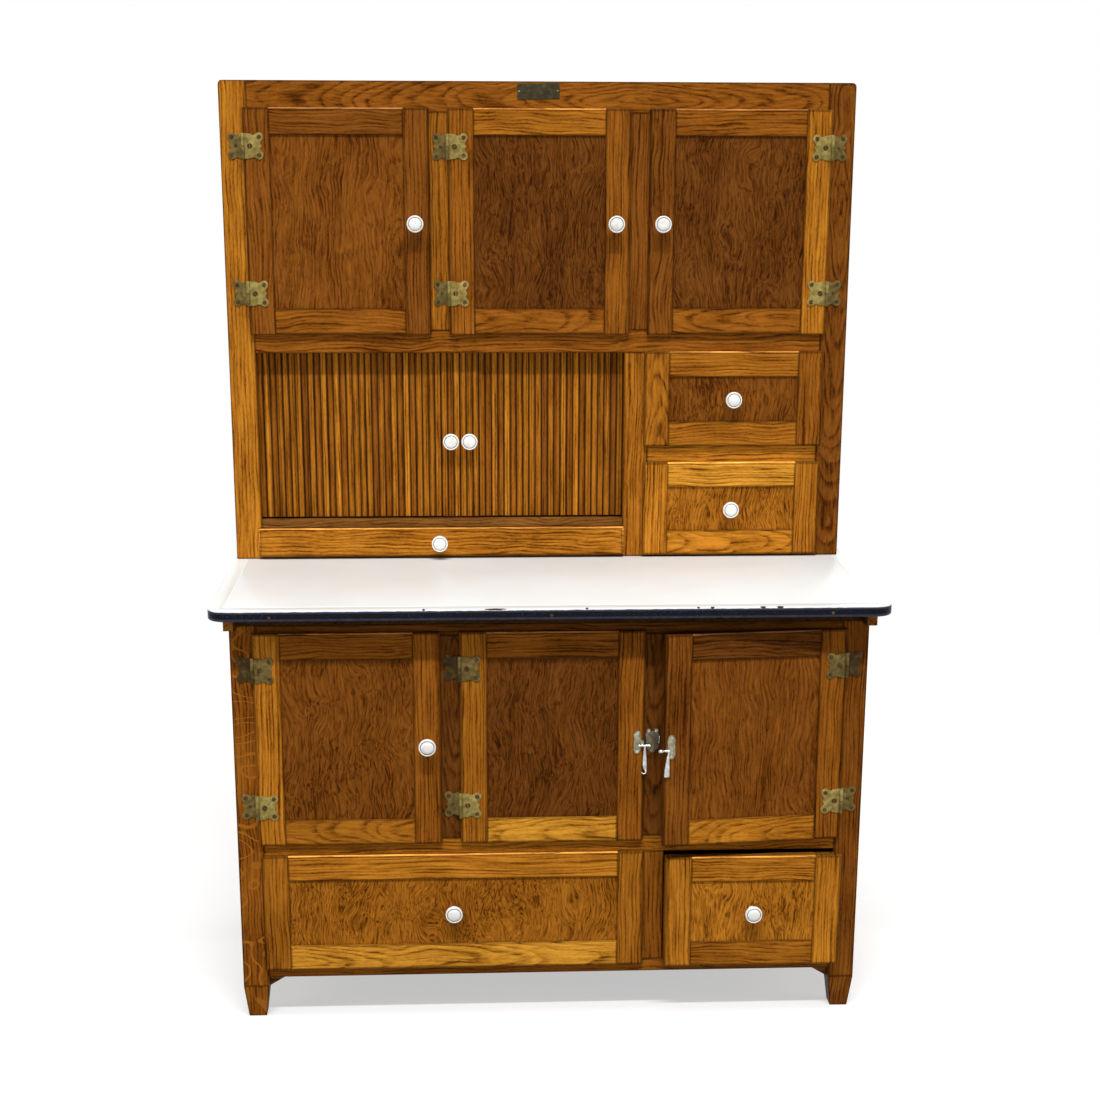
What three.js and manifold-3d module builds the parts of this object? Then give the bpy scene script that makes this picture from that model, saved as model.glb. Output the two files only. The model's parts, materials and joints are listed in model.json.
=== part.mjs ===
// Oak bakers cabinet: a base with an enamelled sliding worktop, and a hutch standing over its back.
// Millimetres, +Z up, X to the right, the front faces -Y.
import * as THREE from 'three';
import { mergeVertices } from 'three/addons/utils/BufferGeometryUtils.js';
import Module from 'manifold-3d';

// ---------------------------------------------------------------- driving dimensions

// base cabinet
const baseWidth = 1203;
const baseDepth = 708;
const baseHeight = 792;
const legSize = 50;
const footHeight = 66;
const footTaper = 8;
const floorClearance = 85;
const sideRailThick = 22;
const sideTopRail = 60;
const sideBottomRail = 55;
const sidePanelThick = 10;
const baseTopRail = 22;
const baseMidRailLow = 335.5;
const baseMidRailHigh = 368;
const baseBottomRailHigh = 110.5;
const baseMullions = [[-217.5, -165.5], [169, 217]];
const drawerMullion = [172, 219];
// A lap below zero is a front that stops short of the edge of its opening.
const wideDrawerLap = { left: 5.5, right: 8, low: 8, high: 3.5 };
const narrowDrawerLap = { left: -1.7, right: 12, low: 7.5, high: -5.1 };
const basePartitionThick = 14;
const backThick = 12;
const ledgeDepth = 22;
const cornerBlock = { width: 30, drop: 26, inner: 8, depth: 38 };

// worktop
const topWidth = baseWidth + 67;
const topOverhang = 61;
const topBackGap = 2;
const topCornerRadius = 36;
const rimDepth = 21;
const enamelThick = 4;
const cleatHeight = 20;
const cleatWidth = 22;
const cleatInset = 6.5;
const cleatSetback = 16;
const crossRailDepth = 20;

// hutch, measured from its own front plane and foot
const hutchWidth = topWidth - 20;
const hutchHeight = 944;
const hutchSetback = 423;
const hutchShift = -5;
const boardThick = 20;
const hutchStile = 53;
const hutchPanelSink = 5;
const hutchCornerRadius = 8;
const hutchDoorMargin = 45.25;
const hutchDoorGap = 36;
const hutchTopRail = 58.5;
const upperRailLow = 465;
const tambourTop = 419.8;
const tambourFloorHigh = 77.8;
const tambourFloorThick = 14;
const smallDrawerTop = 414.7;
const smallDrawerPost = 49;
const smallDrawerFoot = 11.5;
const smallDrawerRail = [189, 237.5];
const smallDrawerLap = { left: 8.75, right: 7.5, low: 8, high: 8 };
const bottomRailHigh = 8;
const shallowDrawerLap = { left: 6, right: 1.75, low: 4, high: 0.8 };
const hutchFloorThick = 12;
const deckThick = 14;
const hutchPartitionThick = 14;
const hutchPartitionInset = 18.25;
const dividerThick = 12;

// fronts
const frameThick = 20;
const proud = 10;
const lip = 8;
const fitGap = 1;
const seatGap = 0.3;
const frontBoard = 51;
const panelSink = 3.5;
const panelThick = 6;
const drawerWall = 12;
const drawerFloorThick = 8;
const drawerRoom = { base: 100, small: 37, shallow: 41 };
const drawerHeadroom = { base: 22.5, small: 20, shallow: 4 };

// tambour
const tambourSplit = -162;
const slatPitch = 13.6;
const slatThick = 7;
const slatGroove = 2.4;
const curtainSetback = 28;
const leadWidth = 38;
const leadThick = 12;
const leadProud = 3;
const curtainHidden = 28;
const curtainEndGap = 4;
const trackDepth = 21;
const trackThick = 22;

// knobs, hinges and latches
const knobRadius = 16.8;
const knobNeck = 8;
const knobReach = 29;
const pinRadius = 3.2;
const leafThick = 1.8;
const leafLength = 31;
const hingeHeight = 51;
const barrelHeight = 50;
const leafOutline = { root: 46, waist: 12.5, waistDip: 4, lobe: 8.5, notch: 4 };
const barrelGap = 1.2;
const hutchHingeInsets = { upper: 73, lower: 81 };
const baseHingeInsets = { upper: 70.5, lower: 77.5 };
const hutchKnobInsets = [29.5, 29.75, 27];
const hutchKnobDrop = 1.75;
const baseKnobInset = 26;
const smallKnobShift = -1.5;
const shallowKnobShift = -4.5;
const tambourKnobRise = 161.2;
const ajarDoorAngle = 6;
const ajarDrawerPull = 15;
const latchPlate = { width: 15, height: 50, thick: 3 };
const latchRise = 200;
const latchInset = 14;
const leverThick = 4;
const leverArm = 59;
const leverReach = 28;
const leverHalf = 5;
const leverStem = { near: 4, far: 13 };
const leverHook = 15;
const keeperPlate = { width: 31, height: 50, thick: 2 };

// ---------------------------------------------------------------- finishes

const finish = (color, roughness, metalness = 0) =>
  new THREE.MeshStandardMaterial({ color, roughness, metalness });
const oak = finish(0x9a5c1c, 0.45);
const oakDark = finish(0x6f4315, 0.5);
const enamel = finish(0xece9e2, 0.18);
const porcelain = finish(0xf2f1ec, 0.12);
const nickel = finish(0xb9b4a4, 0.3, 1);
const agedBrass = finish(0x8f8a5c, 0.45, 1);

// ---------------------------------------------------------------- solids

const wasm = await Module();
wasm.setup();

function toSolid(geometry) {
  const bare = geometry.clone();
  bare.deleteAttribute('normal');
  bare.deleteAttribute('uv');
  const merged = mergeVertices(bare, 1e-4);
  const corners = merged.index.array;
  const faces = [];
  for (let i = 0; i < corners.length; i += 3) {
    const [a, b, c] = corners.slice(i, i + 3);
    if (a !== b && b !== c && c !== a) faces.push(a, b, c);
  }
  return new wasm.Manifold(new wasm.Mesh({
    numProp: 3,
    vertProperties: new Float32Array(merged.attributes.position.array),
    triVerts: new Uint32Array(faces),
  }));
}

function toGeometry(solid) {
  const mesh = solid.getMesh();
  const geometry = new THREE.BufferGeometry();
  geometry.setAttribute('position', new THREE.BufferAttribute(mesh.vertProperties, 3));
  geometry.setIndex(new THREE.BufferAttribute(mesh.triVerts, 1));
  geometry.computeVertexNormals();
  return geometry;
}

// A box with its corners exactly on the given planes; taper draws its lower end in.
function block(x0, x1, y0, y1, z0, z1, taper = 0) {
  const geometry = new THREE.BoxGeometry(1, 1, 1);
  const corners = geometry.attributes.position;
  for (let i = 0; i < corners.count; i += 1) {
    const low = corners.getZ(i) < 0;
    const inset = low ? taper : 0;
    corners.setXYZ(i,
      corners.getX(i) < 0 ? x0 + inset : x1 - inset,
      corners.getY(i) < 0 ? y0 + inset : y1 - inset,
      low ? z0 : z1);
  }
  return toSolid(geometry);
}

const joined = (first, ...others) => others.reduce((sum, solid) => sum.add(solid), first);

const cut = (first, ...others) => others.reduce((rest, solid) => rest.subtract(solid), first);

// A flat outline in X and Z, given thickness from y0 back to y1.
function plateXZ(shape, y0, y1, curveSegments = 6) {
  const geometry = new THREE.ExtrudeGeometry(shape, {
    depth: y1 - y0, bevelEnabled: false, curveSegments,
  });
  geometry.rotateX(Math.PI / 2);
  geometry.translate(0, y1, 0);
  return geometry;
}

function roundedOutline(x0, x1, y0, y1, radius) {
  const shape = new THREE.Shape();
  shape.moveTo(x0 + radius, y0);
  shape.lineTo(x1 - radius, y0);
  shape.absarc(x1 - radius, y0 + radius, radius, -Math.PI / 2, 0);
  shape.lineTo(x1, y1 - radius);
  shape.absarc(x1 - radius, y1 - radius, radius, 0, Math.PI / 2);
  shape.lineTo(x0 + radius, y1);
  shape.absarc(x0 + radius, y1 - radius, radius, Math.PI / 2, Math.PI);
  shape.lineTo(x0, y0 + radius);
  shape.absarc(x0 + radius, y0 + radius, radius, Math.PI, 1.5 * Math.PI);
  return shape;
}

function slab(x0, x1, y0, y1, z0, z1, radius) {
  const geometry = new THREE.ExtrudeGeometry(roundedOutline(x0, x1, y0, y1, radius), {
    depth: z1 - z0, bevelEnabled: false, curveSegments: 6,
  });
  geometry.translate(0, 0, z0);
  return toSolid(geometry);
}

function add(group, name, shape, material) {
  const geometry = shape instanceof wasm.Manifold ? toGeometry(shape) : shape;
  const mesh = new THREE.Mesh(geometry, material);
  mesh.name = name;
  group.add(mesh);
  return mesh;
}

const cabinet = new THREE.Group();

// ---------------------------------------------------------------- base carcass

const base = new THREE.Group();
cabinet.add(base);

const baseHalf = baseWidth / 2;
const legInner = baseHalf - legSize;

// One end of the base: two tapered legs, two rails and a thin panel, glued up as one frame.
function baseSide(side) {
  const outer = side * baseHalf;
  const inner = side * legInner;
  const x0 = Math.min(outer, inner);
  const x1 = Math.max(outer, inner);
  const leg = (y0) => joined(
    block(x0, x1, y0, y0 + legSize, 0, footHeight, footTaper),
    block(x0, x1, y0, y0 + legSize, footHeight, baseHeight),
  );
  const railInner = outer - side * sideRailThick;
  const panelOuter = outer - side * (sideRailThick - sidePanelThick) / 2;
  const panelInner = panelOuter - side * sidePanelThick;
  const board = (a, b, z0, z1) =>
    block(Math.min(a, b), Math.max(a, b), legSize, baseDepth - legSize, z0, z1);
  return joined(
    leg(0),
    leg(baseDepth - legSize),
    board(outer, railInner, baseHeight - sideTopRail, baseHeight),
    board(outer, railInner, floorClearance, floorClearance + sideBottomRail),
    board(panelOuter, panelInner, floorClearance + sideBottomRail, baseHeight - sideTopRail),
  );
}
add(base, 'base_left_side', baseSide(-1), oak);
add(base, 'base_right_side', baseSide(1), oak);

const baseRail = (x0, x1, z0, z1) => block(x0, x1, 0, frameThick, z0, z1);
const baseDoorOpeningHigh = baseHeight - baseTopRail;
add(base, 'base_face_frame', joined(
  baseRail(-legInner, legInner, baseDoorOpeningHigh, baseHeight),
  baseRail(-legInner, legInner, baseMidRailLow, baseMidRailHigh),
  baseRail(-legInner, legInner, floorClearance, baseBottomRailHigh),
  ...baseMullions.map(([x0, x1]) => baseRail(x0, x1, baseMidRailHigh, baseDoorOpeningHigh)),
  baseRail(...drawerMullion, baseBottomRailHigh, baseMidRailLow),
), oak);

// The back panel; its top edge is a ledge that carries the hutch behind the worktop.
const backFace = baseDepth - backThick;
const ledgeFace = baseDepth - ledgeDepth;
const topSurface = baseHeight + cleatHeight + rimDepth + 2 * seatGap;
const hutchFoot = topSurface + 2 * seatGap;
add(base, 'base_back', joined(
  block(-legInner, legInner, backFace, baseDepth, floorClearance, hutchFoot),
  block(-legInner, legInner, ledgeFace, baseDepth, baseHeight, hutchFoot),
), oakDark);

const partitionLeft = (baseMullions[1][0] + baseMullions[1][1] - basePartitionThick) / 2;
const partitionRight = partitionLeft + basePartitionThick;
const cupboardFloorLow = baseMidRailHigh - deckThick;
add(base, 'cupboard_floor',
  block(-legInner, legInner, frameThick, backFace, cupboardFloorLow, baseMidRailHigh), oakDark);
add(base, 'cupboard_partition',
  block(partitionLeft, partitionRight, frameThick, backFace, baseMidRailHigh, baseHeight), oakDark);
// The board under the two low drawers, with a guide between them and a block in each front corner.
const cornerBlockAt = (side) => {
  const shape = new THREE.Shape();
  shape.moveTo(side * legInner, floorClearance + 1);
  shape.lineTo(side * legInner, floorClearance - cornerBlock.drop);
  shape.lineTo(side * (legInner - cornerBlock.width), floorClearance - cornerBlock.inner);
  shape.lineTo(side * (legInner - cornerBlock.width), floorClearance + 1);
  const front = frameThick + seatGap;
  return toSolid(plateXZ(shape, front, front + cornerBlock.depth));
};
const lowBoard = block(-legInner, legInner, frameThick, backFace, floorClearance, baseBottomRailHigh);
const guideLeft = (drawerMullion[0] + drawerMullion[1] - basePartitionThick) / 2;
add(base, 'drawer_board', joined(
  lowBoard,
  block(guideLeft, guideLeft + basePartitionThick, frameThick, backFace,
    baseBottomRailHigh, cupboardFloorLow),
  cornerBlockAt(-1),
  cornerBlockAt(1),
), oakDark);

// ---------------------------------------------------------------- worktop

const topHalf = topWidth / 2;
const topBack = ledgeFace - topBackGap;
const cleatLow = baseHeight + seatGap;
const panLow = cleatLow + cleatHeight;
const panHigh = panLow + rimDepth;
const cleatCentre = baseHalf - cleatInset;
add(cabinet, 'worktop_enamel', cut(
  slab(-topHalf, topHalf, -topOverhang, topBack, panLow, panHigh, topCornerRadius),
  slab(-topHalf + enamelThick, topHalf - enamelThick, -topOverhang + enamelThick,
    topBack - enamelThick, panLow - 1, panHigh - enamelThick, topCornerRadius - enamelThick),
), enamel);

// The board that fills the enamelled pan, on two runners joined by a front and a back rail.
const coreInset = enamelThick + seatGap;
const runnerFront = -topOverhang + cleatSetback;
const runnerBack = topBack - cleatSetback;
const cleat = (centre) =>
  block(centre - cleatWidth / 2, centre + cleatWidth / 2, runnerFront, runnerBack, cleatLow, panLow + 1);
const crossRail = (y0) =>
  block(-cleatCentre, cleatCentre, y0, y0 + crossRailDepth, cleatLow, panLow + 1);
add(cabinet, 'worktop_underframe', joined(
  slab(-topHalf + coreInset, topHalf - coreInset, -topOverhang + coreInset, topBack - coreInset,
    panLow, panHigh - coreInset, topCornerRadius - coreInset),
  cleat(-cleatCentre),
  cleat(cleatCentre),
  crossRail(0),
  crossRail(runnerBack - crossRailDepth),
), oak);

// ---------------------------------------------------------------- hutch carcass

const hutch = new THREE.Group();
hutch.position.set(hutchShift, hutchSetback, hutchFoot);
cabinet.add(hutch);

const hutchHalf = hutchWidth / 2;
const hutchDepth = baseDepth - hutchSetback;
const hutchBackFace = hutchDepth - backThick;
const hutchInside = hutchHalf - boardThick;

// A side board of the hutch, sunk 5 mm where its panel shows on the outside.
function hutchSide(side) {
  const outer = side * hutchHalf;
  const inner = side * hutchInside;
  const sunk = outer - side * hutchPanelSink;
  const past = outer + side;
  return cut(
    block(Math.min(outer, inner), Math.max(outer, inner), frameThick, hutchDepth, 0, hutchHeight),
    block(Math.min(sunk, past), Math.max(sunk, past), frameThick + hutchStile,
      hutchDepth - hutchStile, hutchStile, hutchHeight - hutchStile),
  );
}
add(hutch, 'hutch_left_side', hutchSide(-1), oak);
add(hutch, 'hutch_right_side', hutchSide(1), oak);
add(hutch, 'hutch_top_board',
  block(-hutchInside, hutchInside, frameThick, hutchDepth, hutchHeight - boardThick, hutchHeight), oak);
add(hutch, 'hutch_back',
  block(-hutchInside, hutchInside, hutchBackFace, hutchDepth, 0, hutchHeight - boardThick), oakDark);
add(hutch, 'hutch_floor',
  block(-hutchInside, hutchInside, frameThick, hutchBackFace, 0, hutchFloorThick), oakDark);

const hutchDoorWidth = (hutchWidth - 2 * hutchDoorMargin - 2 * hutchDoorGap) / 3;
const hutchDoorOpenings = [0, 1, 2].map((n) => {
  const left = -hutchHalf + hutchDoorMargin + n * (hutchDoorWidth + hutchDoorGap);
  return {
    x0: left + lip, x1: left + hutchDoorWidth - lip, z0: upperRailLow, z1: hutchHeight - hutchTopRail,
  };
});
const tambourOpening = {
  x0: -hutchHalf + hutchStile, x1: hutchDoorOpenings[1].x1, z0: bottomRailHigh, z1: tambourTop,
};
const smallOpeningLeft = tambourOpening.x1 + smallDrawerPost;
const smallOpeningRight = hutchHalf - hutchStile;
const smallOpenings = [
  { x0: smallOpeningLeft, x1: smallOpeningRight, z0: smallDrawerFoot, z1: smallDrawerRail[0] },
  { x0: smallOpeningLeft, x1: smallOpeningRight, z0: smallDrawerRail[1], z1: smallDrawerTop },
];
const faceOutline = new THREE.Shape();
faceOutline.moveTo(-hutchHalf, 0);
faceOutline.lineTo(hutchHalf, 0);
faceOutline.lineTo(hutchHalf, hutchHeight - hutchCornerRadius);
faceOutline.absarc(hutchHalf - hutchCornerRadius, hutchHeight - hutchCornerRadius,
  hutchCornerRadius, 0, Math.PI / 2);
faceOutline.lineTo(-hutchHalf + hutchCornerRadius, hutchHeight);
faceOutline.absarc(-hutchHalf + hutchCornerRadius, hutchHeight - hutchCornerRadius,
  hutchCornerRadius, Math.PI / 2, Math.PI);
const faceOpenings = [...hutchDoorOpenings, tambourOpening, ...smallOpenings];
add(hutch, 'hutch_face_frame', cut(
  toSolid(plateXZ(faceOutline, 0, frameThick)),
  ...faceOpenings.map(({ x0, x1, z0, z1 }) => block(x0, x1, -1, frameThick + 1, z0, z1)),
), oak);

// The board under the cupboard, with the upper track of the tambour along its front edge.
const hutchPartitionRight = smallOpeningLeft - hutchPartitionInset;
const hutchPartitionLeft = hutchPartitionRight - hutchPartitionThick;
const hutchDeckLow = upperRailLow - deckThick;
add(hutch, 'hutch_deck', joined(
  block(-hutchInside, hutchInside, frameThick, hutchBackFace, hutchDeckLow, upperRailLow),
  block(-hutchInside, hutchPartitionLeft, frameThick, frameThick + trackThick,
    hutchDeckLow - trackDepth, hutchDeckLow + 1),
), oakDark);

// Partition, dust board between the small drawers, and the sill that the tambour runs on.
const dividerLow = smallDrawerRail[1] - dividerThick;
const sillLow = tambourFloorHigh - tambourFloorThick;
add(hutch, 'hutch_inner_case', joined(
  block(hutchPartitionLeft, hutchPartitionRight, frameThick, hutchBackFace,
    hutchFloorThick, hutchDeckLow),
  block(hutchPartitionRight - 1, hutchInside, frameThick, hutchBackFace,
    dividerLow, dividerLow + dividerThick),
  block(-hutchInside, hutchPartitionLeft + 1, frameThick, hutchBackFace, sillLow, tambourFloorHigh),
  block(tambourOpening.x0 + fitGap, tambourOpening.x1 - fitGap, 2, frameThick + 1,
    sillLow, tambourFloorHigh),
), oakDark);

// ---------------------------------------------------------------- doors and drawers

// A front that laps over the edges of its opening by its own amount on each side.
const evenLap = { left: lip, right: lip, low: lip, high: lip };
const lapped = (opening, lap) => ({
  x0: opening.x0 - lap.left, x1: opening.x1 + lap.right,
  z0: opening.z0 - lap.low, z1: opening.z1 + lap.high,
});

// The front board of a door or drawer: a lipped frame that stands proud of the face frame, with a
// tongue that enters the opening and a sunk panel.
function frontBoardSolid(front, opening) {
  const { x0, x1, z0, z1 } = front;
  return cut(
    joined(
      block(x0, x1, -proud, -seatGap, z0, z1),
      block(Math.max(opening.x0 + fitGap, x0), Math.min(opening.x1 - fitGap, x1), -1, proud,
        Math.max(opening.z0 + fitGap, z0), Math.min(opening.z1 - fitGap, z1)),
    ),
    block(x0 + frontBoard, x1 - frontBoard, -proud - 1, -proud + panelSink,
      z0 + frontBoard, z1 - frontBoard),
  );
}

function doorSolid(front, opening) {
  const { x0, x1, z0, z1 } = front;
  return cut(frontBoardSolid(front, opening),
    block(x0 + frontBoard, x1 - frontBoard, -proud + panelSink + panelThick, proud + 1,
      z0 + frontBoard, z1 - frontBoard));
}

// A drawer: the front board with an open box behind it, which runs on the board at height runner and
// ends at depth back.
function drawerSolid(front, opening, runner, back, boxHigh) {
  const x0 = opening.x0 + 2 * fitGap;
  const x1 = opening.x1 - 2 * fitGap;
  const z0 = runner + seatGap;
  const box = cut(
    block(x0, x1, proud - 1, back, z0, boxHigh),
    block(x0 + drawerWall, x1 - drawerWall, proud + 1, back - drawerWall,
      z0 + drawerFloorThick, boxHigh + 1),
  );
  return joined(frontBoardSolid(front, opening), box);
}

// A porcelain knob, turned about an axis that points out of the front.
function knob(group, name, x, y, z) {
  const outline = [
    [0, 0], [knobNeck + 1.5, 0], [knobNeck, 3], [knobNeck - 0.5, 9], [knobNeck + 3, 13],
    [knobRadius, 19], [knobRadius, 22.5], [knobRadius - 3.5, 26.5], [knobRadius - 7, 27.5],
    [knobRadius - 9.5, knobReach], [0, knobReach],
  ].map(([r, h]) => new THREE.Vector2(r, h));
  const geometry = new THREE.LatheGeometry(outline, 16);
  geometry.rotateX(Math.PI);
  geometry.translate(x, y, z);
  add(group, name, toSolid(geometry), porcelain);
}

// The leaf that is screwed to the face frame, cranked forward over the edge of the door to the
// barrel that holds the pin. side is -1 where the leaf lies to the left of the pin.
function frameLeaf(group, name, pinX, z, side) {
  const shape = new THREE.Shape();
  const half = hingeHeight / 2;
  const { root, waist, waistDip, lobe, notch } = leafOutline;
  const lobeX = side * (leafLength - lobe);
  // Each lobe turns from just short of its inner side round to the notch between the two.
  const turn = (halves) => (side > 0 ? halves : -1 - halves) * Math.PI;
  shape.moveTo(side * barrelGap, -root / 2);
  shape.lineTo(side * waist, -half + waistDip);
  shape.absarc(lobeX, -half + lobe, lobe, turn(-0.72), turn(0.2), side < 0);
  shape.lineTo(side * (leafLength - notch), 0);
  shape.absarc(lobeX, half - lobe, lobe, turn(-0.2), turn(0.72), side < 0);
  shape.lineTo(side * waist, half - waistDip);
  shape.lineTo(side * barrelGap, root / 2);
  const leaf = toSolid(plateXZ(shape, -leafThick, 0, 4));
  const barrelY = -proud - pinRadius - seatGap;
  const barrel = new THREE.CylinderGeometry(pinRadius, pinRadius, barrelHeight, 10);
  barrel.rotateX(Math.PI / 2);
  barrel.translate(0, barrelY, 0);
  const webX = [side * barrelGap, side * (barrelGap + leafThick)];
  const web = block(Math.min(...webX), Math.max(...webX), barrelY, -leafThick / 2,
    -root / 2, root / 2);
  const solid = joined(leaf, web, toSolid(barrel)).translate([pinX, 0, z]);
  add(group, name, solid, agedBrass);
}

const hutchDoorNames = ['hutch_left_door', 'hutch_middle_door', 'hutch_right_door'];
// side is -1 for a door hung on its left edge and 1 for one hung on its right edge.
const hungOn = (n) => (n === 2 ? 1 : -1);
hutchDoorNames.forEach((name, n) => {
  const side = hungOn(n);
  const front = lapped(hutchDoorOpenings[n], evenLap);
  const [hingeX, freeX] = side < 0 ? [front.x0, front.x1] : [front.x1, front.x0];
  add(hutch, name, doorSolid(front, hutchDoorOpenings[n]), oak);
  knob(hutch, `${name}_knob`, freeX + side * hutchKnobInsets[n], -proud,
    (front.z0 + front.z1) / 2 - hutchKnobDrop);
  frameLeaf(hutch, `${name}_upper_hinge`, hingeX, front.z1 - hutchHingeInsets.upper, side);
  frameLeaf(hutch, `${name}_lower_hinge`, hingeX, front.z0 + hutchHingeInsets.lower, side);
});

const smallDrawerNames = ['lower_small_drawer', 'upper_small_drawer'];
const frontKnob = (group, name, front, y, shift = 0) =>
  knob(group, name, (front.x0 + front.x1) / 2 + shift, y, (front.z0 + front.z1) / 2);
smallDrawerNames.forEach((name, n) => {
  const opening = smallOpenings[n];
  const front = lapped(opening, smallDrawerLap);
  const runner = Math.max(opening.z0, hutchFloorThick);
  add(hutch, name, drawerSolid(front, opening, runner, hutchBackFace - drawerRoom.small,
    opening.z1 - drawerHeadroom.small), oak);
  frontKnob(hutch, `${name}_knob`, front, -proud + panelSink, smallKnobShift);
});

const shallowOpening = {
  x0: tambourOpening.x0, x1: tambourOpening.x1, z0: bottomRailHigh, z1: sillLow - 1,
};
const shallowFront = lapped(shallowOpening, shallowDrawerLap);
const shallowBack = hutchBackFace - drawerRoom.shallow;
const shallowBoard = joined(
  block(shallowFront.x0, shallowFront.x1, -proud, -seatGap, shallowFront.z0, shallowFront.z1),
  block(shallowOpening.x0 + fitGap, shallowOpening.x1 - fitGap, -1, proud,
    shallowOpening.z0 + fitGap, shallowOpening.z1 - fitGap),
);
const shallowBox = cut(
  block(shallowOpening.x0 + 2 * fitGap, shallowOpening.x1 - 2 * fitGap, proud - 1,
    shallowBack, hutchFloorThick + seatGap, shallowOpening.z1 - drawerHeadroom.shallow),
  block(shallowOpening.x0 + drawerWall, shallowOpening.x1 - drawerWall, proud + 1,
    shallowBack - drawerWall, hutchFloorThick + drawerFloorThick, shallowOpening.z1),
);
add(hutch, 'shallow_drawer', joined(shallowBoard, shallowBox), oak);
frontKnob(hutch, 'shallow_drawer_knob', shallowFront, -proud, shallowKnobShift);

// ---------------------------------------------------------------- tambour

// A curtain of narrow upright slats on a cloth back, as wide as from x0 to x1.
const curtainHigh = hutchDeckLow - trackDepth - 2 * seatGap;
function curtainSolid(x0, x1) {
  const count = Math.round((x1 - x0) / slatPitch);
  const step = (x1 - x0) / count;
  const shape = new THREE.Shape();
  shape.moveTo(x0, slatThick);
  shape.lineTo(x0, slatGroove);
  for (let n = 0; n < count; n += 1) {
    const left = x0 + n * step;
    shape.lineTo(left + 0.3 * step, 0);
    shape.lineTo(left + 0.7 * step, 0);
    shape.lineTo(left + step, slatGroove);
  }
  shape.lineTo(x1, slatThick);
  const geometry = new THREE.ExtrudeGeometry(shape, {
    depth: curtainHigh - tambourFloorHigh - seatGap, bevelEnabled: false,
  });
  geometry.translate(0, curtainSetback, tambourFloorHigh + seatGap);
  return toSolid(geometry);
}
const leadFront = curtainSetback - leadProud;
const leadRail = (x0) => block(x0, x0 + leadWidth, leadFront, leadFront + leadThick,
  tambourFloorHigh + seatGap, curtainHigh);
const tambourKnobZ = tambourFloorHigh + tambourKnobRise;
add(hutch, 'left_tambour_curtain',
  curtainSolid(tambourOpening.x0 - curtainHidden, tambourSplit - leadWidth - 2 * seatGap), oak);
add(hutch, 'left_tambour_lead_rail', leadRail(tambourSplit - leadWidth - seatGap), oak);
knob(hutch, 'left_tambour_knob', tambourSplit - leadWidth / 2, leadFront, tambourKnobZ);
add(hutch, 'right_tambour_curtain',
  curtainSolid(tambourSplit + leadWidth + 2 * seatGap, hutchPartitionLeft - curtainEndGap), oak);
add(hutch, 'right_tambour_lead_rail', leadRail(tambourSplit + seatGap), oak);
knob(hutch, 'right_tambour_knob', tambourSplit + leadWidth / 2, leadFront, tambourKnobZ);

// ---------------------------------------------------------------- base doors, drawers, latches

const baseOpenings = [
  { x0: -legInner, x1: baseMullions[0][0] },
  { x0: baseMullions[0][1], x1: baseMullions[1][0] },
  { x0: baseMullions[1][1], x1: legInner },
].map(({ x0, x1 }) => ({ x0, x1, z0: baseMidRailHigh, z1: baseDoorOpeningHigh }));
const baseDoorNames = ['base_left_door', 'base_middle_door', 'base_right_door'];

// The plate on the door and the hanging lever that it carries; toward is -1 where the lever
// reaches to the left for the keeper.
function latch(group, name, edgeX, latchZ, toward) {
  const pivotX = edgeX - toward * latchInset;
  const pivotZ = latchZ - leverHalf - 1;
  const { width, height, thick } = latchPlate;
  add(group, `${name}_latch_plate`, block(pivotX - width / 2, pivotX + width / 2,
    -proud - thick, -proud, latchZ - height / 2, latchZ + height / 2), nickel);
  const leverBack = -proud - thick - seatGap;
  const foot = pivotZ - leverArm;
  const { near, far } = leverStem;
  const shape = new THREE.Shape();
  [
    [-leverHalf - 1, pivotZ - leverHalf],
    [-leverHalf - 1, pivotZ + leverHalf],
    [leverReach, pivotZ + 3],
    [leverReach, pivotZ - 1],
    [far, pivotZ - near],
    [far - 1, foot + far - 1],
    [leverHook, foot + near],
    [far - 2, foot],
    [near + 2, foot + leverHalf],
    [near + 1, foot + leverHook + 1],
    [near, pivotZ - leverHalf],
  ].forEach(([out, z], i) => shape[i ? 'lineTo' : 'moveTo'](pivotX + toward * out, z));
  add(group, `${name}_latch_lever`,
    toSolid(plateXZ(shape, leverBack - leverThick, leverBack)), nickel);
}

const baseFronts = baseOpenings.map((opening) => lapped(opening, evenLap));
baseDoorNames.forEach((name, n) => {
  const side = hungOn(n);
  const front = baseFronts[n];
  const [hingeX, freeX] = side < 0 ? [front.x0, front.x1] : [front.x1, front.x0];
  const latchZ = front.z0 + latchRise;
  // The right door stands ajar, turned about its hinge pins.
  const pinY = -proud - pinRadius - seatGap;
  const swing = new THREE.Group();
  swing.position.set(hingeX, pinY, 0);
  swing.rotation.z = side > 0 ? THREE.MathUtils.degToRad(ajarDoorAngle) : 0;
  const leaf = new THREE.Group();
  leaf.position.set(-hingeX, -pinY, 0);
  swing.add(leaf);
  base.add(swing);
  add(leaf, name, doorSolid(front, baseOpenings[n]), oak);
  if (n === 0) knob(leaf, `${name}_knob`, freeX - baseKnobInset, -proud, latchZ);
  else latch(leaf, name, freeX, latchZ, -side);
  frameLeaf(base, `${name}_upper_hinge`, hingeX, front.z1 - baseHingeInsets.upper, side);
  frameLeaf(base, `${name}_lower_hinge`, hingeX, front.z0 + baseHingeInsets.lower, side);
});

// One keeper plate on the mullion serves both latches.
const keeperX = (baseFronts[1].x1 + baseFronts[2].x0) / 2;
const keeperZ = baseFronts[1].z0 + latchRise;
add(base, 'latch_keeper', block(keeperX - keeperPlate.width / 2, keeperX + keeperPlate.width / 2,
  -keeperPlate.thick, 0, keeperZ - keeperPlate.height / 2, keeperZ + keeperPlate.height / 2), nickel);

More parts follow.
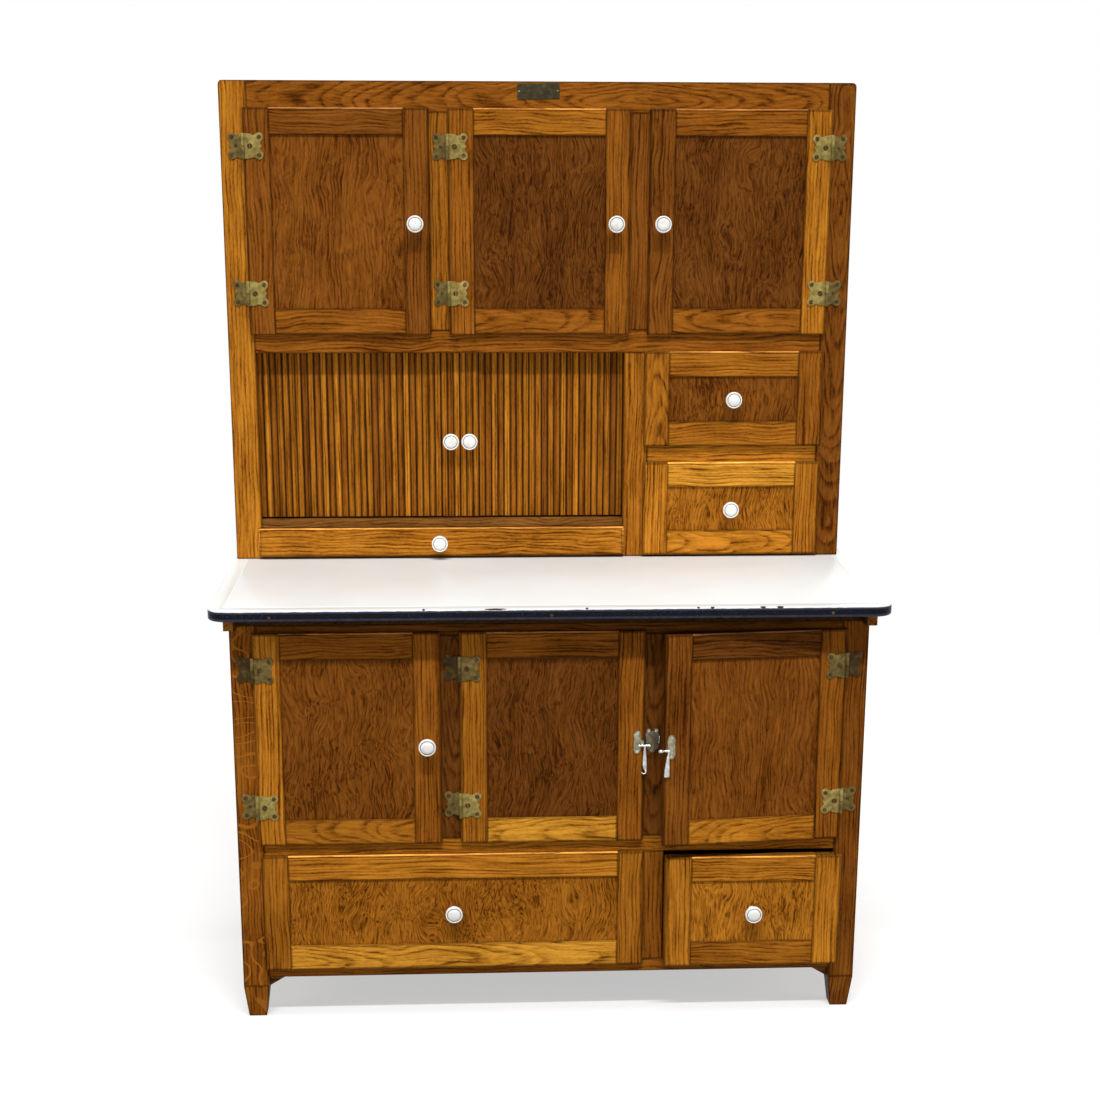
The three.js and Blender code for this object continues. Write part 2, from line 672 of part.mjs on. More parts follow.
const lowOpenings = [
  { x0: -legInner, x1: drawerMullion[0] },
  { x0: drawerMullion[1], x1: legInner },
].map(({ x0, x1 }) => ({ x0, x1, z0: baseBottomRailHigh, z1: baseMidRailLow }));
const lowBoxHigh = baseMidRailLow - drawerHeadroom.base;
const lowBoxBack = backFace - drawerRoom.base;
const lowDrawer = (group, name, opening, lap) => {
  const front = lapped(opening, lap);
  add(group, name, drawerSolid(front, opening, baseBottomRailHigh, lowBoxBack, lowBoxHigh), oak);
  frontKnob(group, `${name}_knob`, front, -proud + panelSink);
};
lowDrawer(base, 'wide_drawer', lowOpenings[0], wideDrawerLap);
// The narrow drawer is pulled out a little.
const pulled = new THREE.Group();
pulled.position.y = -ajarDrawerPull;
base.add(pulled);
lowDrawer(pulled, 'narrow_drawer', lowOpenings[1], narrowDrawerLap);

// ---------------------------------------------------------------- origin

// The part stands on Z = 0 with its origin under the middle of its bounding box.
cabinet.updateMatrixWorld(true);
const bounds = new THREE.Box3().setFromObject(cabinet, true);
cabinet.position.set(-(bounds.min.x + bounds.max.x) / 2, -(bounds.min.y + bounds.max.y) / 2, 0);
cabinet.updateMatrixWorld(true);

export default cabinet;
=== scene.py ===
import json
import math
import random

import bmesh
import bpy
from mathutils import Euler, Matrix, Vector

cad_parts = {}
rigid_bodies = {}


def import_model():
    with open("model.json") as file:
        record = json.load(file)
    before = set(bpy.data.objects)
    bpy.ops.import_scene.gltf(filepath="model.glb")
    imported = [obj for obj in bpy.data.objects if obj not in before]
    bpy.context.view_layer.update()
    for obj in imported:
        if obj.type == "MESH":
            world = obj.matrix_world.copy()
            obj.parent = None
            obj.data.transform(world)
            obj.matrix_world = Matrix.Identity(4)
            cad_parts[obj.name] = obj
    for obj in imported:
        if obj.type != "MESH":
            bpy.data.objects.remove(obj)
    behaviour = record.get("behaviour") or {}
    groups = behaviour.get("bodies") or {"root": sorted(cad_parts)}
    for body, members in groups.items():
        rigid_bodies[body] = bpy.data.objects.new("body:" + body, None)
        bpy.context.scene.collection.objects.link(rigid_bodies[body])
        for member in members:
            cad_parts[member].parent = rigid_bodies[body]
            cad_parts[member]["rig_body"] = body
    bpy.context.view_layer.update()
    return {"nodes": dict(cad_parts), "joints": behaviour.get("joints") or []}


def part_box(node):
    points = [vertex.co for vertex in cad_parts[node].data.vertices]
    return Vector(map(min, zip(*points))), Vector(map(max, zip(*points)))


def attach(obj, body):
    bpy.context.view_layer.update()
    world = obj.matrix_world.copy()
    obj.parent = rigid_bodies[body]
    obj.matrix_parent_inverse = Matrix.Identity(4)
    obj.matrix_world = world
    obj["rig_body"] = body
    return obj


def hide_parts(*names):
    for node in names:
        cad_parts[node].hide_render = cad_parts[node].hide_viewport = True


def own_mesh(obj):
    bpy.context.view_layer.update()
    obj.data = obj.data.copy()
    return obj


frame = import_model()

# ---------------------------------------------------------------- camera
# The photograph is taken from a standing height, square to the front and a little left of its
# middle. It is cropped from a taller picture, so the view is shifted up.

PHOTO_SIZE = 1100
FOCAL_PIXELS = 1880.6
HORIZON_SHIFT = 132
SENSOR_WIDTH = 36.0
CAMERA_PLACE = Vector((-0.1746, -3.7480, 1.6058))
CAMERA_TURN = 0.0501
CAMERA_DIP = 0.2644
CAMERA_ROLL = 0.0028

camera_data = bpy.data.cameras.new("camera")
camera_data.sensor_width = SENSOR_WIDTH
camera_data.lens = FOCAL_PIXELS / PHOTO_SIZE * SENSOR_WIDTH
camera_data.shift_y = HORIZON_SHIFT / PHOTO_SIZE
camera_data.clip_end = 60
camera = bpy.data.objects.new("camera", camera_data)
camera.location = CAMERA_PLACE
looking = Euler((math.pi / 2 - CAMERA_DIP, 0, -CAMERA_TURN)).to_matrix()
camera.rotation_euler = (looking @ Matrix.Rotation(CAMERA_ROLL, 3, "Z")).to_euler()
bpy.context.scene.collection.objects.link(camera)
bpy.context.scene.camera = camera

# ---------------------------------------------------------------- studio
# A white paper sweep under soft lamps: a long bar high in front, which throws the worktop's shadow
# down the doors, a wide bank behind the camera that fills it, one overhead, and small ones at the
# sides and back.

PAPER = "#b9b8b6"
PAPER_BOUNCE = "#8f8d8a"
PAPER_REACH = 14.0
PAPER_FADE = (1.0, 3.6)
PAPER_GLOW = 0.5
PAPER_DROP = 0.0005
ROOM_LIGHT = 0.19
WHITE = (1, 1, 1, 1)


def linear(code):
    """An sRGB hex colour as linear red, green, blue and alpha."""
    parts = [int(code[i:i + 2], 16) / 255 for i in (1, 3, 5)]
    return [p / 12.92 if p <= 0.04045 else ((p + 0.055) / 1.055) ** 2.4 for p in parts] + [1.0]


def node(tree, kind, inputs=(), **settings):
    """Adds a shader node with its settings, and fills or links its inputs. A whole node given as
    an input links its first output in use."""
    new = tree.nodes.new("ShaderNode" + kind)
    for key, value in settings.items():
        setattr(new, key, value)
    for socket, value in dict(inputs).items():
        if isinstance(value, bpy.types.Node):
            value = next(output for output in value.outputs if output.enabled)
        if isinstance(value, bpy.types.NodeSocket):
            tree.links.new(value, new.inputs[socket])
        else:
            new.inputs[socket].default_value = value
    return new


def new_material(name):
    """An empty material and its node tree."""
    material = bpy.data.materials.new(name)
    material.use_nodes = True
    material.node_tree.nodes.clear()
    return material, material.node_tree


def seamless_paper():
    """Paper that keeps the cabinet's shadow near it and is plain white farther out. The light that
    bounces from it is weaker, so that undersides stay dark."""
    material, tree = new_material("matt_white_paper")
    seen = node(tree, "LightPath").outputs
    direct = node(tree, "Math", {0: seen["Is Camera Ray"], 1: seen["Is Glossy Ray"]},
                  operation="MAXIMUM")
    place = node(tree, "TexCoord").outputs["Object"]
    away = node(tree, "VectorMath", {0: place}, operation="LENGTH")
    far = node(tree, "MapRange", {0: away, 1: PAPER_FADE[0], 2: PAPER_FADE[1]},
               interpolation_type="SMOOTHSTEP")
    bounce = node(tree, "BsdfDiffuse", {"Color": linear(PAPER_BOUNCE)})
    paper = node(tree, "BsdfDiffuse", {"Color": linear(PAPER)})
    glow = node(tree, "Emission", {"Strength": PAPER_GLOW})
    lit = node(tree, "AddShader", {0: paper, 1: glow})
    white = node(tree, "Emission", {"Strength": 1.0})
    shown = node(tree, "MixShader", {0: far, 1: lit, 2: white})
    mix = node(tree, "MixShader", {0: direct, 1: bounce, 2: shown})
    node(tree, "OutputMaterial", {"Surface": mix})
    return material


sweep = bmesh.new()
bmesh.ops.create_circle(sweep, cap_ends=True, segments=64, radius=PAPER_REACH)
sweep_mesh = bpy.data.meshes.new("studio_floor")
sweep.to_mesh(sweep_mesh)
sweep.free()
sweep_mesh.materials.append(seamless_paper())
floor = bpy.data.objects.new("studio_floor", sweep_mesh)
floor.location.z = -PAPER_DROP
bpy.context.scene.collection.objects.link(floor)

world = bpy.data.worlds.new("studio")
world.use_nodes = True
air = world.node_tree
air.nodes.clear()
seen = node(air, "LightPath").outputs
direct = node(air, "Math", {0: seen["Is Camera Ray"], 1: seen["Is Glossy Ray"]},
              operation="MAXIMUM")
room = node(air, "Background", {"Color": WHITE, "Strength": ROOM_LIGHT})
plain = node(air, "Background", {"Color": WHITE, "Strength": 1.0})
mixed = node(air, "MixShader", {0: direct, 1: room, 2: plain})
node(air, "OutputWorld", {"Surface": mixed})
bpy.context.scene.world = world


def lamp(name, place, target, size, power):
    """A soft rectangular lamp that points at target. Places and sizes are in metres."""
    data = bpy.data.lights.new(name, "AREA")
    data.shape = "RECTANGLE"
    data.size, data.size_y = size
    data.energy = power
    light = bpy.data.objects.new(name, data)
    light.location = place
    light.rotation_euler = (Vector(target) - Vector(place)).to_track_quat("-Z", "Y").to_euler()
    bpy.context.scene.collection.objects.link(light)


lamp("high_bar", (0, -11.8, 21.2), (0, -0.3, 0.8), (14.0, 1.0), 4900)
lamp("front_bank", (0, -6.5, 1.2), (0, 0, 0.8), (5.0, 1.6), 58)
lamp("left_bank", (-4.0, -1.0, 1.7), (0, 0, 0.9), (1.8, 2.4), 38)
lamp("right_bank", (4.2, -0.8, 1.7), (0, 0, 0.9), (1.8, 2.4), 34)
lamp("top_bank", (0, -1.6, 6.5), (0, -0.35, 0.8), (3.4, 1.2), 62)
lamp("back_bank", (0.4, 4.2, 3.0), (0, 0, 0.9), (2.6, 1.6), 90)

bpy.context.scene.view_settings.view_transform = "Standard"

# ---------------------------------------------------------------- base ends
# Each end of the base is a glued frame of solid oak: two square legs with tapered feet, an upper
# and a lower rail between them, and a thin panel in grooves.

METRE = 1000.0
X, Y, Z = 0, 1, 2
OAK_TONES = {
    "straw": "#bd8029", "golden": "#a7681d", "honey": "#955a18",
    "amber": "#834b14", "chestnut": "#744113", "umber": "#5f3410",
}
LEG = 50
LEG_ROUND = 1.6
FOOT_HIGH = 66
FOOT_TAPER = 8
END_RAIL_THICK = 22
END_TOP_RAIL = 60
END_LOW_RAIL = 55
END_PANEL_THICK = 10
END_GROOVE = 4
FLOOR_CLEARANCE = 85


def box_mm(name):
    """A node's lowest and highest corners in millimetres."""
    low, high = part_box(name)
    return low * METRE, high * METRE


RING_WIDTH = 6.4
RING_UNEVEN = 1.2
EARLY_WOOD = (0.45, 0.8)
# How the grain bends: how long a bend is along it, how wide across it, and how far the bend
# pushes the year rings aside (mm).
GRAIN_BENDS = ((170, 100, 66), (62, 44, 19), (20, 13, 2.6))
# The marks in the wood: their length and width (mm), and how finely they break up. Pores are
# 0.3 mm wide in oak; they are drawn about 2 mm wide so that they show.
GRAIN_MARKS = {
    "run": (70, 6, 1.0), "streak": (30, 2.8, 1.0), "pore": (9, 1.7, 2.0),
    "fibre": (90, 4.5, 3.0), "patch": (150, 60, 3.0),
}
RAY_DRIFT = (46, 60)
# What a board's tone is multiplied by in its darkest, middle and palest fibres.
DARK_FIBRE = (0.27, 0.2, 0.12)
MIDDLE_FIBRE = (0.98, 0.95, 0.82)
PALE_FIBRE = (1.6, 1.72, 1.7)
FIBRE_SHADE = 1.3
PORE_SHADE = -0.55
SHADE_BASE = -0.42
VARNISH_GLOSS = "#ffdc9c"
VARNISH_SHINE = 0.06


def oiled_wood(tree, grain, tone, wave, rough, rays=0.0):
    """Oak under old oil varnish, which has soaked dark into its open pores. Year rings are cut
    through as lines or arches; where the grain is wavy they break up into streaks. Between them
    run paler fibres, and the shade drifts over each board. grain is a place in the tree: along
    it, and across it from its heart, in millimetres. rays is the strength of the pale bands of
    quarter-sawn oak."""
    warped = grain
    for length, width, push in GRAIN_BENDS:
        spot = node(tree, "VectorMath", {0: grain, 1: (1 / length, 1 / width, 1 / width)},
                    operation="MULTIPLY")
        bend = node(tree, "TexNoise", {"Vector": spot, "Scale": 1.0, "Detail": 1.0})
        centred = node(tree, "VectorMath", {0: bend.outputs["Color"], 1: (0.5, 0.5, 0.5)},
                       operation="SUBTRACT")
        shift = node(tree, "VectorMath", {0: centred, 1: (0, push, push)}, operation="MULTIPLY")
        shift = node(tree, "VectorMath", {0: shift, "Scale": wave}, operation="SCALE")
        warped = node(tree, "VectorMath", {0: warped, 1: shift}, operation="ADD")
    crossing = node(tree, "VectorMath", {0: warped, 1: (0, 1, 1)}, operation="MULTIPLY")
    radius = node(tree, "VectorMath", {0: crossing}, operation="LENGTH")
    uneven = node(tree, "TexNoise", {"W": radius, "Scale": 0.08, "Detail": 2.0},
                  noise_dimensions="1D")
    years = node(tree, "Math", {0: radius, 1: 1 / RING_WIDTH}, operation="MULTIPLY")
    phase = node(tree, "Math", {0: uneven, 1: RING_UNEVEN, 2: years}, operation="MULTIPLY_ADD")
    ring = node(tree, "Math", {0: phase}, operation="FRACT")
    opening = node(tree, "MapRange", {0: ring, 1: 0.0, 2: EARLY_WOOD[0], 3: 1.0, 4: 0.0},
                   interpolation_type="SMOOTHSTEP")
    closing = node(tree, "MapRange", {0: ring, 1: EARLY_WOOD[1], 2: 1.0, 3: 0.0, 4: 1.0},
                   interpolation_type="SMOOTHSTEP")
    early = node(tree, "Math", {0: opening, 1: closing}, operation="MAXIMUM")

    fields = {}
    for mark, (length, width, detail) in GRAIN_MARKS.items():
        spot = node(tree, "VectorMath", {0: warped, 1: (1 / length, 1 / width, 1 / width)},
                    operation="MULTIPLY")
        fields[mark] = node(tree, "TexNoise", {"Vector": spot, "Scale": 1.0, "Detail": detail})
    pores = node(tree, "MapRange", {0: fields["pore"], 1: 0.48, 2: 0.66},
                 interpolation_type="SMOOTHSTEP")
    broken = node(tree, "MapRange", {0: fields["run"], 1: 0.3, 2: 0.62, 3: 0.25, 4: 1.0})
    lines = node(tree, "Math", {0: early, 1: broken}, operation="MULTIPLY")
    streaks = node(tree, "MapRange", {0: fields["streak"], 1: 0.44, 2: 0.64},
                   interpolation_type="SMOOTHSTEP")
    wild = node(tree, "MapRange", {0: wave, 1: 0.6, 2: 0.95, 4: 0.7})
    figure = node(tree, "Mix", {0: wild, 2: lines, 3: streaks}, data_type="FLOAT")
    ink = node(tree, "Math", {0: pores, 1: 0.4, 2: figure}, operation="MULTIPLY_ADD")

    shade = node(tree, "Math", {0: fields["fibre"], 1: FIBRE_SHADE, 2: SHADE_BASE},
                 operation="MULTIPLY_ADD")
    shade = node(tree, "Math", {0: fields["patch"], 1: shade}, operation="ADD")
    shade = node(tree, "Math", {0: ink, 1: PORE_SHADE, 2: shade}, operation="MULTIPLY_ADD")
    if rays:
        length, width = RAY_DRIFT
        crossed = node(tree, "VectorMath", {0: grain, 1: (1 / length, 1 / width, 1 / width)},
                       operation="MULTIPLY")
        drift = node(tree, "TexNoise", {"Vector": crossed, "Scale": 1.0, "Detail": 0.0})
        banded = node(tree, "Math", {0: drift, 1: 4.0}, operation="MULTIPLY")
        banded = node(tree, "Math", {0: banded, 1: 0.5}, operation="PINGPONG")
        band = node(tree, "MapRange", {0: banded, 1: 0.42, 2: 0.48})
        shade = node(tree, "Math", {0: band, 1: rays, 2: shade}, operation="MULTIPLY_ADD")
    dark = node(tree, "VectorMath", {0: tone, 1: DARK_FIBRE}, operation="MULTIPLY")
    middle = node(tree, "VectorMath", {0: tone, 1: MIDDLE_FIBRE}, operation="MULTIPLY")
    pale = node(tree, "VectorMath", {0: tone, 1: PALE_FIBRE}, operation="MULTIPLY")
    below = node(tree, "MapRange", {0: shade, 1: 0.0, 2: 0.5})
    above = node(tree, "MapRange", {0: shade, 1: 0.5, 2: 1.0})
    lower = node(tree, "Mix", {0: below, 6: dark, 7: middle}, data_type="RGBA")
    colour = node(tree, "Mix", {0: above, 6: lower, 7: pale}, data_type="RGBA")

    dull = node(tree, "Math", {0: pores, 1: 0.2, 2: rough}, operation="MULTIPLY_ADD")
    relief = node(tree, "Math", {0: ink, 1: -1.0, 2: fields["fibre"]}, operation="MULTIPLY_ADD")
    bump = node(tree, "Bump", {"Height": relief, "Strength": 0.2, "Distance": 0.0004})
    body = node(tree, "BsdfPrincipled", {"Base Color": colour, "Roughness": dull,
                                         "Normal": bump, "IOR": 1.5,
                                         "Specular IOR Level": VARNISH_SHINE,
                                         "Specular Tint": linear(VARNISH_GLOSS)})
    node(tree, "OutputMaterial", {"Surface": body})


def board_oak(name, rays=0.0):
    """The oak of every visible board, which carries its own grain and tone as attributes."""
    material, tree = new_material(name)
    grain = node(tree, "Attribute", attribute_name="grain").outputs["Vector"]
    tone = node(tree, "Attribute", attribute_name="tone").outputs
    oiled_wood(tree, grain, tone["Color"], tone["Alpha"], 0.4, rays)
    return material


OAK = board_oak("varnished_solid_oak")
QUARTER_OAK = board_oak("varnished_quarter_sawn_oak", 1.1)


def wooden_bmesh():
    """An empty mesh whose vertices can hold the grain and tone of a board."""
    bm = bmesh.new()
    bm.verts.layers.float_vector.new("grain")
    bm.verts.layers.float_color.new("tone")
    return bm


def made_since(bm, before):
    """The vertices that are new since the set before was taken."""
    return [v for v in bm.verts if v not in before]


def block(bm, low, high):
    """Adds a plain box between two corners."""
    low, high = Vector(low), Vector(high)
    cube = bmesh.ops.create_cube(bm, size=1.0)["verts"]
    bmesh.ops.scale(bm, vec=high - low, verts=cube)
    bmesh.ops.translate(bm, vec=(low + high) / 2, verts=cube)
    return cube


def bevel(bm, edges, offset, segments, clamp_overlap=False):
    """Rounds edges over, or planes them off where there is one segment."""
    bmesh.ops.bevel(bm, geom=edges, offset=offset, offset_type="OFFSET", segments=segments,
                    profile=0.5, affect="EDGES", clamp_overlap=clamp_overlap, material=-1)


# How a board was cut from the log: how far its face lies from the heart, sideways and in depth
# (mm), how much the heart tilts against the board, and how wavy the grain is.
CUTS = {
    "straight": ((110, 190), (30, 90), 0.012, 0.22),
    "slat": ((110, 190), (30, 90), 0.004, 0.08),
    "arched": ((-12, 12), (20, 40), 0.16, 0.36),
    "swept": ((60, 100), (20, 60), 0.05, 0.42),
    "fine": ((110, 190), (30, 90), 0.02, 0.8),
    "wavy": ((45, 95), (20, 60), 0.08, 1.05),
    "flame": ((0, 30), (36, 64), 0.12, 1.4),
    "quarter": ((130, 150), (0, 20), 0.02, 0.4),
}
EDGE = 0.7
CORNER_ROUND = 8
# How far from a board's joints it is darkened and by how much, for dirt and as painted shade.
JOINT_DIRT_AND_SHADE_WIDE = 2.8
JOINT_DIRT_AND_SHADE_DARK = 0.42
# How much a rounded upper front edge is brightened and paled, for wear and as a painted highlight.
EDGE_WEAR_AND_HIGHLIGHT = 1.7
EDGE_WEAR_AND_HIGHLIGHT_PALE = (0.08, 0.06, 0.035)
SHADE_SPREAD = (0.94, 1.06)


def board(bm, low, high, along, depth, tone, cut, seed, rounded=(), radius=3.0, taper=0.0,
          corner="", finish=0, dirt_and_shade=JOINT_DIRT_AND_SHADE_WIDE):
    """Adds one planed board between two corners. along and depth are the axes of its grain and of
    its thickness. rounded names the sides whose front edge is rounded over by radius, corner the
    side whose upper corner is cut round, and taper is how much each side of a foot narrows.
    finish is the number of its material in the list for put. Along its joints it is darkened, for
    old dirt and as painted shade, and a rounded upper front edge is made pale, for wear and as a
    painted highlight."""
    low, high = Vector(low), Vector(high)
    middle = (low + high) / 2
    across = X + Y + Z - along - depth
    old = set(bm.verts)
    old_faces = set(bm.faces)
    cube = block(bm, low, high)
    if taper:
        foot = [v for v in cube if v.co.z < middle.z]
        shrink = (1 - 2 * taper / (high.x - low.x), 1 - 2 * taper / (high.y - low.y), 1)
        bmesh.ops.scale(bm, vec=shrink, verts=foot, space=Matrix.Translation(-middle))
    sides = {"left": (X, low.x), "right": (X, high.x), "bottom": (Z, low.z), "top": (Z, high.z)}

    def on(edge, axis, value):
        return all(abs(v.co[axis] - value) < 1e-4 for v in edge.verts)

    edges = list({e for v in cube for e in v.link_edges})
    big = [e for e in edges if on(e, Y, low.y) and any(on(e, *sides[s]) for s in rounded)]
    if corner:
        big = [e for e in edges if on(e, *sides[corner]) and on(e, *sides["top"])]
    if big:
        bevel(bm, big, CORNER_ROUND if corner else radius, 4, clamp_overlap=True)
    sharp = {e for v in made_since(bm, old) for e in v.link_edges if e.calc_face_angle(0) > 0.9}
    bevel(bm, list(sharp), EDGE, 1, clamp_overlap=True)
    wide = [f for f in bm.faces if f not in old_faces and abs(f.normal[depth]) > 0.99
            and f.calc_area() > 8 * JOINT_DIRT_AND_SHADE_WIDE ** 2]
    if min(high[axis] - low[axis] for axis in (along, across)) > 4 * dirt_and_shade:
        bmesh.ops.inset_individual(bm, faces=wide, thickness=dirt_and_shade, use_even_offset=True)
    clean = {v for f in wide for v in f.verts}

    luck = random.Random(seed)
    sideways, deep, tilt, wave = CUTS[cut]
    place = [0.0, 0.0, 0.0]
    place[along] = luck.uniform(-900, 900)
    place[across] = luck.choice((-1, 1)) * luck.uniform(*sideways)
    place[depth] = luck.choice((-1, 1)) * luck.uniform(*deep)
    lean = luck.choice((-1, 1)) * luck.uniform(0.4, 1.0) * tilt
    shade = luck.uniform(*SHADE_SPREAD)
    colour = [c * shade for c in linear(OAK_TONES[tone])[:3]]
    dirty_and_shaded = [c * JOINT_DIRT_AND_SHADE_DARK for c in colour]
    worn_and_lit = [c * EDGE_WEAR_AND_HIGHLIGHT + pale for c, pale in zip(colour, EDGE_WEAR_AND_HIGHLIGHT_PALE)]
    worn_and_lit_edge = along == X and "top" in rounded
    grain_layer = bm.verts.layers.float_vector["grain"]
    tone_layer = bm.verts.layers.float_color["tone"]
    for v in made_since(bm, old):
        off = v.co - middle
        v[grain_layer] = (off[along] + place[along],
                          off[across] + place[across],
                          off[depth] + place[depth] + lean * off[along])
        if v in clean:
            v[tone_layer] = colour + [wave]
        elif worn_and_lit_edge and v.co.z > high.z - radius * 0.8 and v.co.y < low.y + radius:
            v[tone_layer] = worn_and_lit + [wave]
        else:
            v[tone_layer] = dirty_and_shaded + [wave]
    for face in bm.faces:
        if face not in old_faces:
            face.material_index = finish


def put(name, bm, rides, materials, stands_for=(), smooth=0.0):
    """Makes a modelled shape a piece in metres that rides on a body. smooth is the angle in
    degrees up to which neighbouring faces are shaded as one."""
    bmesh.ops.scale(bm, vec=[1 / METRE] * 3, verts=bm.verts)
    mesh = bpy.data.meshes.new(name)
    bm.to_mesh(mesh)
    bm.free()
    for material in materials:
        mesh.materials.append(material)
    if smooth:
        mesh.shade_smooth()
        mesh.set_sharp_from_angle(angle=math.radians(smooth))
    piece = bpy.data.objects.new(name, mesh)
    bpy.context.scene.collection.objects.link(piece)
    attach(piece, rides)
    if stands_for:
        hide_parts(*stands_for)
    return piece


def base_end(name, side, tones):
    """One end frame; side is -1 at the left and 1 at the right."""
    low, high = box_mm(name)
    bm = wooden_bmesh()
    outer = low.x if side < 0 else high.x
    for end, y in (("front", low.y), ("back", high.y - LEG)):
        tone, cut = tones[end]
        finish = 1 if cut == "quarter" else 0
        board(bm, (low.x, y, FOOT_HIGH), (high.x, y + LEG, high.z), Z, Y, tone, cut,
              name + end, ("left", "right"), LEG_ROUND, finish=finish)
        board(bm, (low.x, y, 0), (high.x, y + LEG, FOOT_HIGH), Z, Y, tone, cut, name + end,
              ("left", "right"), LEG_ROUND, FOOT_TAPER, finish=finish)
    y0, y1 = low.y + LEG, high.y - LEG
    x = sorted((outer, outer - side * END_RAIL_THICK))
    for place, z0, z1 in (("top", high.z - END_TOP_RAIL, high.z),
                          ("low", FLOOR_CLEARANCE, FLOOR_CLEARANCE + END_LOW_RAIL)):
        board(bm, (x[0], y0, z0), (x[1], y1, z1), Y, X, *tones[place], name + place)
    sunk = (END_RAIL_THICK - END_PANEL_THICK) / 2
    x = sorted((outer - side * sunk, outer - side * (sunk + END_PANEL_THICK)))
    board(bm, (x[0], y0 - END_GROOVE, FLOOR_CLEARANCE + END_LOW_RAIL - END_GROOVE),
          (x[1], y1 + END_GROOVE, high.z - END_TOP_RAIL + END_GROOVE), Z, X, *tones["panel"],
          name + "panel")
    put(name.replace("side", "end_frame"), bm, "cabinet", [OAK, QUARTER_OAK], [name])


base_end("base_left_side", -1, {
    "front": ("amber", "quarter"), "back": ("chestnut", "straight"), "top": ("amber", "straight"),
    "low": ("honey", "arched"), "panel": ("amber", "arched")})
base_end("base_right_side", 1, {
    "front": ("chestnut", "straight"), "back": ("chestnut", "wavy"), "top": ("honey", "straight"),
    "low": ("amber", "arched"), "panel": ("honey", "arched")})

# ---------------------------------------------------------------- base face frame
# Rails and mullions of oak glued flush between the front legs. It stands in shade under the
# worktop; its top rail and door mullions are given the darkest tone as painted shade.

BASE_TOP_RAIL = 22
BASE_MID_RAIL = (335.5, 368)
BASE_LOW_RAIL = 110.5
BASE_MULLIONS = ((-217.5, -165.5), (169, 217))
DRAWER_MULLION = (172, 219)

low, high = box_mm("base_face_frame")
bm = wooden_bmesh()
face_rails = (("top", high.z - BASE_TOP_RAIL, high.z, "umber", "straight"),
              ("mid", *BASE_MID_RAIL, "honey", "swept"),
              ("low", low.z, BASE_LOW_RAIL, "amber", "swept"))
for place, z0, z1, tone, cut in face_rails:
    board(bm, (low.x, low.y, z0), (high.x, high.y, z1), X, Y, tone, cut, "base" + place)
for number, (x0, x1) in enumerate(BASE_MULLIONS):
    board(bm, (x0, low.y, BASE_MID_RAIL[1]), (x1, high.y, high.z - BASE_TOP_RAIL), Z, Y,
          "umber", "arched", f"mullion{number}")
board(bm, (DRAWER_MULLION[0], low.y, BASE_LOW_RAIL),
      (DRAWER_MULLION[1], high.y, BASE_MID_RAIL[0]), Z, Y, "amber", "straight", "drawer_mullion")
put("base_rails_and_mullions", bm, "cabinet", [OAK], ["base_face_frame"])

# ---------------------------------------------------------------- backs
# Both backs are boards of oak stood upright edge to edge, with a fine groove at each joint;
# the ledge that carries the hutch is one board glued along the inside of the base's back.

BACK_BOARD = 138
BACK_THICK = 12
BACK_TONES = ("amber", "chestnut", "honey")
BACK_CUTS = ("arched", "straight", "wavy")
LEDGE_DEPTH = 22


def matched_back(node_name, top):
    """The upright boards of a back, up to the height top."""
    low, high = box_mm(node_name)
    bm = wooden_bmesh()
    count = round((high.x - low.x) / BACK_BOARD)
    step = (high.x - low.x) / count
    for n in range(count):
        x0 = low.x + n * step
        board(bm, (x0, high.y - BACK_THICK, low.z), (x0 + step, high.y, top), Z, Y,
              BACK_TONES[n * 5 % 7 % 3], BACK_CUTS[n % 3], f"{node_name}_boards{n}")
    return bm


low, high = box_mm("base_back")
ledge_foot = box_mm("base_face_frame")[1].z
bm = matched_back("base_back", ledge_foot)
board(bm, (low.x, high.y - LEDGE_DEPTH, ledge_foot), high, X, Y, "amber", "straight", "ledge")
put("base_back_boards", bm, "cabinet", [OAK], ["base_back"])
bm = matched_back("hutch_back", box_mm("hutch_back")[1].z)
put("hutch_back_boards", bm, "cabinet", [OAK], ["hutch_back"])

# ---------------------------------------------------------------- inside boards
# Floors, partitions and runners are plain unstained oak, gone brown with age. Each keeps its
# plain shape and only needs the grain to run along it.

INNER_TONE = "#744a20"
# The worktop's underframe is given a near-black tone, for dark stain and as painted shade under
# the rim.
DARK_STAIN_AND_SHADE_TONE = "#3c2611"
# Runner ends take a paler tone; on the cleat ends under the worktop's rim this is painted light.
RUNNER_END_AND_LIT_TONE = "#8a5522"
RUNNER_FROM = 588
INNER_WAVE = 0.5
# Where the middle of the cabinet lies from the heart of the log, along and across the grain (mm).
INNER_HEART = (0, 37, 61)
INSIDE_BOARDS = (
    ("X", INNER_TONE, ("cupboard_floor", "drawer_board", "hutch_floor", "hutch_deck",
                       "hutch_inner_case")),
    ("Z", INNER_TONE, ("cupboard_partition",)),
    ("Y", DARK_STAIN_AND_SHADE_TONE, ("worktop_underframe",)),
)


